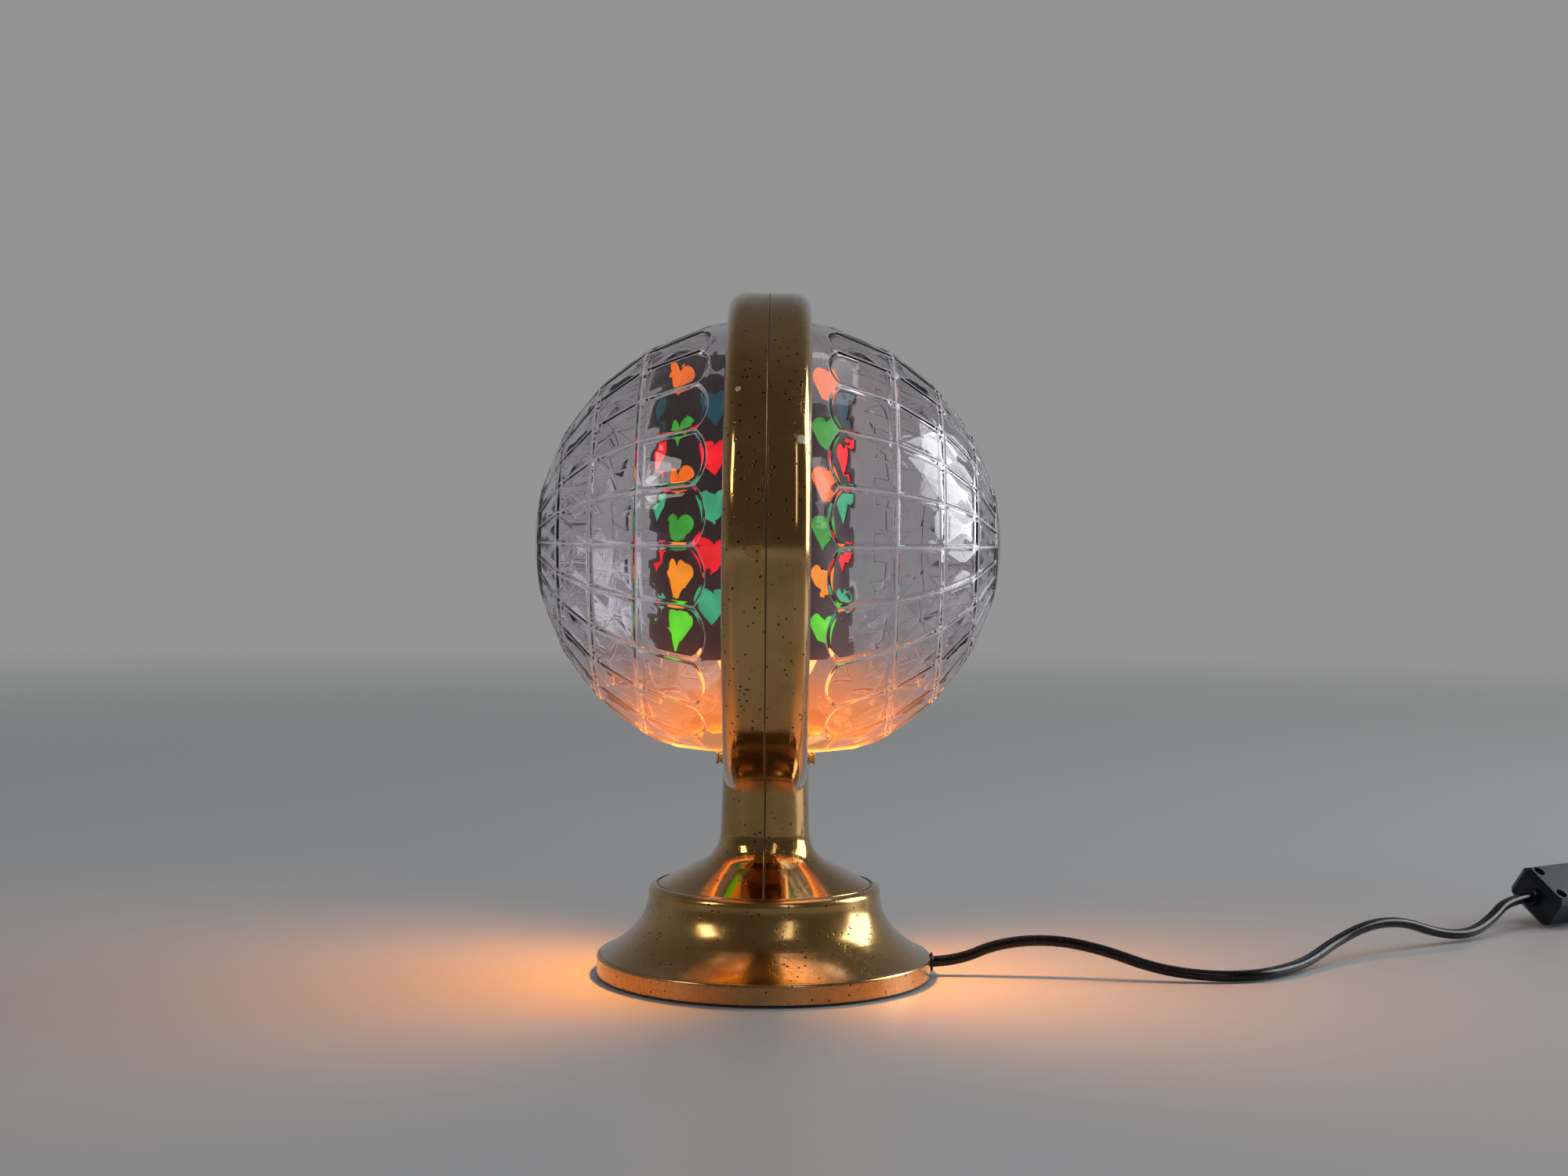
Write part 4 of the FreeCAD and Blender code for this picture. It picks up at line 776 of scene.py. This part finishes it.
steel = plain_metal("zinc_steel", (0.55, 0.55, 0.54, 1), 0.34)
brass = plain_metal("bare_brass", (0.78, 0.55, 0.24, 1), 0.24)
nickel = plain_metal("bright_nickel", (0.72, 0.71, 0.69, 1), 0.16)
tungsten = plain_metal("tungsten", (0.35, 0.34, 0.34, 1), 0.4)
paint(steel, "base_plate", "plate_screws", "tube_nuts", "tube_washer", "threaded_tube",
      "switch_screws", "pivot_arch", "pivot_needle")
paint(brass, "neck_screws", "holder_contact", "bulb_cap", "switch_contacts", "pivot_cup")
paint(nickel, "plug_pins")
paint(tungsten, "bulb_filament")

# %% [markdown]
# ## Rubber and plastics
#
# The lead is glossy black, the switch and plug a near-black blue, and the bulb's holder a yellowed
# white. All are plain plastic: a dark colour, a sheen and fine marks. Very dark glossy plastic
# mirrors so much of a pale table that it looks grey, so its reflection is set lower than usual.

# %% Rubber and plastics
# Worn plastic is paler by this factor and this amount, and rougher
WORN_FACTOR = 1.8
WORN_ADDED = 0.008
WORN_SHARE = 0.45
WORN_ROUGH = 0.15


def plastic(name, colour, rough, grain=900.0, depth=0.05 * MM, shine=0.5):
    material, tree, surface = new_material(name)
    moulded = use_group(tree, moulded_grain, Place=place_of(tree), Scale=grain)
    worn = tuple(min(1.0, channel * WORN_FACTOR + WORN_ADDED) for channel in colour[:3]) + (1,)
    amount = times(tree, moulded["Wear"], WORN_SHARE)
    uneven = map_range(tree, moulded["Wear"], 0.0, 1.0, rough, rough + WORN_ROUGH)
    set_inputs(tree, surface, Base_Color=mix_colours(tree, amount, colour, worn),
               Roughness=uneven, Specular_IOR_Level=shine)
    bump(tree, moulded["Height"], surface, depth, 0.6)
    return material


cable_skin = plastic("cable_skin", (0.002, 0.002, 0.004, 1), 0.2,
                     grain=500.0, depth=0.03 * MM, shine=0.28)
switch_shell = plastic("switch_shell", (0.002, 0.006, 0.014, 1), 0.34,
                       grain=700.0, depth=0.06 * MM, shine=0.3)
holder_skin = plastic("holder_skin", (0.60, 0.55, 0.44, 1), 0.42)
paint(cable_skin, "inner_lead", "cord_grommet")
paint(switch_shell, "switch_base", "switch_cover", "switch_rocker", "plug_body", "cord_tie")
paint(holder_skin, "lamp_holder", "holder_ring")
lead_to_switch.data.materials.append(cable_skin)
supply_lead.data.materials.append(cable_skin)

# %% [markdown]
# ## Felt
#
# A disc of black felt keeps the base from scratching the table, and only its edge is seen. Fine
# noise gives the fibres, both in colour and in depth, and a little sheen gives the soft edge.

# %% Felt under the base
FELT_BLACK = (0.010, 0.010, 0.011, 1)
FELT_GREY = (0.05, 0.05, 0.055, 1)


def felt_cloth():
    material, tree, surface = new_material("felt_cloth")
    fibres = noise(tree, place_of(tree), 1500.0, detail=6.0, rough=0.7)
    colour = mix_colours(tree, map_range(tree, fibres, 0.35, 0.7), FELT_BLACK, FELT_GREY)
    set_inputs(tree, surface, Base_Color=colour, Roughness=0.95, Sheen_Weight=0.4)
    bump(tree, fibres, surface, 0.3 * MM, 0.8)
    return material


paint(felt_cloth(), "base_felt")

# %% [markdown]
# ## Drum
#
# The drum is thin dark plastic with heart windows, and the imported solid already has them. With
# the bulb inside, such plastic isn't quite black: a faint dull red comes through, most of it low
# on the drum. A very weak glow in the material gives that without slow light tracing.

# %% Dark drum plastic
DRUM_DARK = (0.009, 0.005, 0.005, 1)
DRUM_WORN = (0.026, 0.013, 0.011, 1)
DRUM_GLOW_HIGH = (0.25, 0.03, 0.03, 1)
DRUM_GLOW_LOW = (1.0, 0.10, 0.04, 1)
# The glow has its upper colour at this height and above, and its lower colour at the other
GLOW_HIGH_FROM = 215 * MM
GLOW_LOW_FROM = 142 * MM


def drum_plastic():
    material, tree, surface = new_material("drum_plastic")
    place = place_of(tree)
    moulded = use_group(tree, moulded_grain, Place=place, Scale=500.0)
    low = map_range(tree, axes_of(tree, place)["Z"], GLOW_HIGH_FROM, GLOW_LOW_FROM)
    set_inputs(tree, surface, Base_Color=mix_colours(tree, moulded["Wear"], DRUM_DARK, DRUM_WORN),
               Roughness=0.42, Specular_IOR_Level=0.3, Emission_Strength=0.04,
               Emission_Color=mix_colours(tree, low, DRUM_GLOW_HIGH, DRUM_GLOW_LOW))
    bump(tree, moulded["Height"], surface, 0.06 * MM, 0.5)
    return material


paint(drum_plastic(), "drum_sleeve", "drum_hoops", "rotor_turbine")

# %% [markdown]
# ## Coloured film
#
# Behind the windows lies a printed film, lit by the bulb from inside. Each row of hearts has its
# own colour, and the two staggered sets of columns have their own rows. So the colour depends on
# the height, and on which set a point's angle around the drum belongs to. The film glows by
# itself, which keeps the hearts evenly bright, as the light scattered by a frosted film does.

# %% Coloured film
DRUM_OFFSET = 8 * MM
COLUMN_PAIRS = 8.0
HEART_FIRST = 150.6 * MM
HEART_PITCH = 20.4 * MM
HEART_PHASE = 3.0
RED = (1.0, 0.004, 0.012, 1)
ORANGE = (1.0, 0.17, 0.004, 1)
AMBER = (1.0, 0.30, 0.004, 1)
GREEN = (0.045, 0.36, 0.03, 1)
LIME = (0.13, 0.78, 0.02, 1)
TEAL = (0.05, 0.42, 0.20, 1)
DEEP_TEAL = (0.004, 0.055, 0.07, 1)
EVEN_ROWS = [LIME, AMBER, GREEN, ORANGE, GREEN, ORANGE]
ODD_ROWS = [TEAL, RED, TEAL, RED, DEEP_TEAL, RED]


def banded_colours(tree, height, first, rows):
    # A ramp with hard steps, one step to each row of hearts
    low = first - HEART_PITCH / 2
    share = map_range(tree, height, low, low + HEART_PITCH * len(rows), smooth=False)
    ramp = add_node(tree, "ValToRGB", Fac=share)
    ramp.color_ramp.interpolation = "CONSTANT"
    stops = ramp.color_ramp.elements
    while len(stops) < len(rows):
        stops.new(1.0)
    for index, (stop, colour) in enumerate(zip(stops, rows)):
        stop.position = index / len(rows)
        stop.color = colour
    return ramp.outputs["Color"]


def film_material():
    material, tree, surface = new_material("coloured_film")
    place = place_of(tree)
    axes = axes_of(tree, place)
    angle = math_node(tree, "ARCTAN2", plus(tree, axes["X"], DRUM_OFFSET), times(tree, axes["Y"], -1.0))
    turned = minus(tree, angle, math.radians(HEART_PHASE))
    wave = math_node(tree, "COSINE", times(tree, turned, COLUMN_PAIRS))
    even = banded_colours(tree, axes["Z"], HEART_FIRST, EVEN_ROWS)
    odd = banded_colours(tree, axes["Z"], HEART_FIRST + HEART_PITCH / 2, ODD_ROWS)
    colour = mix_colours(tree, math_node(tree, "GREATER_THAN", wave, 0.0), odd, even)
    cloud = map_range(tree, noise(tree, place, 120.0, detail=3.0), 0.3, 0.7, 0.72, 1.0)
    lit = mix_colours(tree, 1.0, colour, cloud, "MULTIPLY")
    set_inputs(tree, surface, Base_Color=mix_colours(tree, 0.6, lit, (0, 0, 0, 1)), Roughness=0.5,
               Specular_IOR_Level=0.3, Emission_Color=lit, Emission_Strength=1.0)
    return material


paint(film_material(), "colour_film")

# %% [markdown]
# ## Bulb
#
# A small frosted bulb, seen only as a glow through the facets and as a warm spot in the plating.
# It is an emitting material with a slightly cloudy tone. It is kept orange and not too strong,
# because a brighter one would burn out to white wherever a facet or the gold shows it.

# %% Frosted bulb
BULB_DEEP = (1.0, 0.15, 0.015, 1)
BULB_PALE = (1.0, 0.20, 0.025, 1)
FROSTED_GLASS = (0.9, 0.85, 0.75, 1)


def bulb_material():
    material, tree, surface = new_material("frosted_bulb")
    cloud = noise(tree, place_of(tree), 60.0)
    set_inputs(tree, surface, Base_Color=FROSTED_GLASS, Roughness=0.3, Emission_Strength=4.0,
               Emission_Color=mix_colours(tree, cloud, BULB_DEEP, BULB_PALE))
    return material


paint(bulb_material(), "bulb_glass")
paint(plastic("glass_stem", (0.7, 0.7, 0.66, 1), 0.1), "bulb_stem")

# %% [markdown]
# ## Faceted domes
#
# Each dome is clear moulded plastic. Its outside is a net of facets with a fine raised ridge
# between neighbours, and its inside is smooth, so every facet is a small lens that shows its own
# piece of the drum. Each flat facet of the solid is inset ring by ring: the first rings sink into
# a shallow moat just inside the ridge, and the others swell up again into a pillow.

# %% Dish one facet
# Each ring is a share of the facet's own size, with its height in millimetres
MOAT_RINGS = ((0.97, -0.10), (0.94, -0.24), (0.91, -0.34), (0.875, -0.38))
PILLOW_RINGS = (0.8, 0.7, 0.58, 0.45, 0.3, 0.14)
PILLOW_TALL = 0.95
GLOBE_MIDDLE = Vector((0, 0, 0.1862))
LEAST_FACET = 60 * MM * MM
RING_HALF = 24 * MM
LOOKS_OUT = 0.9


def is_facet(face):
    # Facets are the large flat faces beside the ring that look straight out of the globe
    middle = face.calc_center_median()
    if face.calc_area() < LEAST_FACET or abs(middle.x) < RING_HALF:
        return False
    return face.normal.dot((middle - GLOBE_MIDDLE).normalized()) > LOOKS_OUT


def dish(build, face):
    # Each ring is a smaller copy of the facet's outline, at its own height
    middle = face.calc_center_median()
    normal = face.normal.copy()
    start = [vertex.co - middle for vertex in face.verts]
    moat_share, moat_height = MOAT_RINGS[-1]
    rings = list(MOAT_RINGS)
    for share in PILLOW_RINGS:
        rings.append((share, moat_height + PILLOW_TALL * (1 - (share / moat_share) ** 2)))
    for share, height in rings:
        bmesh.ops.inset_individual(build, faces=[face], thickness=0, depth=0)
        for vertex, arm in zip(face.verts, start):
            vertex.co = middle + arm * share + normal * height * MM


# %% [markdown]
# ### Both domes
#
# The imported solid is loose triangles, so a copy of it is merged, and its flat triangles are
# joined back into whole facets. Each facet is inset once for the ridge, which gets a material of
# its own, and is then dished. Long edges are divided first, so that the rings can follow them.

# %% Both domes
SAME_POINT = 0.002 * MM
SAME_PLANE = 0.05
LONG_EDGE = 5 * MM
EDGE_CUTS = 5
RIDGE_WIDE = 0.5 * MM
CREASE = 24


def dished_dome(name, node):
    build = bmesh.new()
    build.from_mesh(nodes[node].data)
    bmesh.ops.remove_doubles(build, verts=build.verts, dist=SAME_POINT)
    bmesh.ops.dissolve_limit(build, angle_limit=math.radians(SAME_PLANE), verts=build.verts,
                             edges=build.edges)
    facets = [face for face in build.faces if is_facet(face)]
    long_edges = {edge for face in facets for edge in face.edges if edge.calc_length() > LONG_EDGE}
    bmesh.ops.subdivide_edges(build, edges=list(long_edges), cuts=EDGE_CUTS)
    ridges = bmesh.ops.inset_individual(build, faces=facets, thickness=RIDGE_WIDE, depth=0)["faces"]
    for face in ridges:
        face.material_index = 1
    for face in facets:
        dish(build, face)
    print(name, "has", len(facets), "dished facets and", len(build.faces), "faces")
    for face in build.faces:
        face.smooth = True
    mesh = bpy.data.meshes.new(name)
    build.to_mesh(mesh)
    build.free()
    mesh.set_sharp_from_angle(angle=math.radians(CREASE))
    dome = add_object(name, mesh)
    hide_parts(node)
    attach(dome, "stand")
    return dome


left_dome = dished_dome("left_dome_shell", "dome_left")
right_dome = dished_dome("right_dome_shell", "dome_right")

# %% [markdown]
# ## Clear plastic
#
# The domes have a faint lilac tint and a little haze. The ridges are rougher from scuffing, and
# their paler, partly milky look is a painted highlight for the light that a rounded ridge catches.
# So one function makes two finishes: nearly perfect plastic for the facets, and a rougher, paler
# one for the ridges. Low on the globe the plastic catches the bulb's light, which is given as a
# peach tint and a weak glow that fade upwards and outwards. To shadow rays the plastic is plain
# transparent, or the lamp would cast a shadow as dark as a solid one.

# %% Clear dome plastic
DOME_LILAC = (0.87, 0.84, 0.88, 1)
# The ridges' paler colour is scuffed plastic, made paler still as a painted highlight
RIDGE_SCUFF_AND_HIGHLIGHT = (0.95, 0.92, 1.0, 1)
SHADOW_TINT = (0.88, 0.86, 0.89, 1)
PEACH = (1.0, 0.66, 0.38, 1)
NO_GLOW = (0, 0, 0, 1)
WEAK_GLOW = (0.19, 0.048, 0.012, 1)
EDGE_GLOW = (0.9, 0.32, 0.02, 1)
# Heights where a glow begins and is full, and how far out from the ring it begins and is full
GLOW_HEIGHTS = (150 * MM, 108 * MM)
EDGE_HEIGHTS = (102.4 * MM, 100.8 * MM)
GLOW_WIDTHS = (88 * MM, 20 * MM)


def clear_plastic(name, rough, tint, clearness):
    material, tree, surface = new_material(name)
    place = place_of(tree)
    axes = axes_of(tree, place)
    cloud = noise(tree, place, 160.0, detail=4.0, rough=0.6)
    haze = map_range(tree, cloud, 0.35, 0.75, rough, rough * 3)
    inner = map_range(tree, math_node(tree, "ABSOLUTE", axes["X"]), *GLOW_WIDTHS)
    glow = times(tree, map_range(tree, axes["Z"], *GLOW_HEIGHTS), inner)
    # The cut edge at the very bottom gathers the light and glows
    edge = times(tree, map_range(tree, axes["Z"], *EDGE_HEIGHTS), inner)
    shine = mix_colours(tree, edge, mix_colours(tree, glow, NO_GLOW, WEAK_GLOW), EDGE_GLOW)
    set_inputs(tree, surface, Base_Color=mix_colours(tree, glow, tint, PEACH), Roughness=haze,
               Transmission_Weight=clearness, IOR=1.49, Emission_Color=shine,
               Emission_Strength=1.0)
    bump(tree, noise(tree, place, 70.0, detail=1.0), surface, 0.3 * MM, 0.2)
    see_through = add_node(tree, "BsdfTransparent", Color=SHADOW_TINT).outputs[0]
    shadow = add_node(tree, "LightPath").outputs["Is Shadow Ray"]
    both = mix_shaders(tree, shadow, surface.outputs[0], see_through)
    set_inputs(tree, tree.nodes["Material Output"], Surface=both)
    return material


facet_plastic = clear_plastic("clear_dome_plastic", 0.012, DOME_LILAC, clearness=1.0)
# Rougher for scuffing, and partly milky and pale as a painted highlight on the ridges
ridge_scuff_and_highlight = clear_plastic("ridge_scuff_and_highlight_plastic", 0.2, RIDGE_SCUFF_AND_HIGHLIGHT, clearness=0.75)
for dome in (left_dome, right_dome):
    dome.data.materials.append(facet_plastic)
    dome.data.materials.append(ridge_scuff_and_highlight)
    print(dome.name, "wears", ", ".join(finish.name for finish in dome.data.materials))

# %% [markdown]
# ## Finish
#
# The last cell prints a line when the script has run to its end.

# %% Finish
print("lamp dressed")
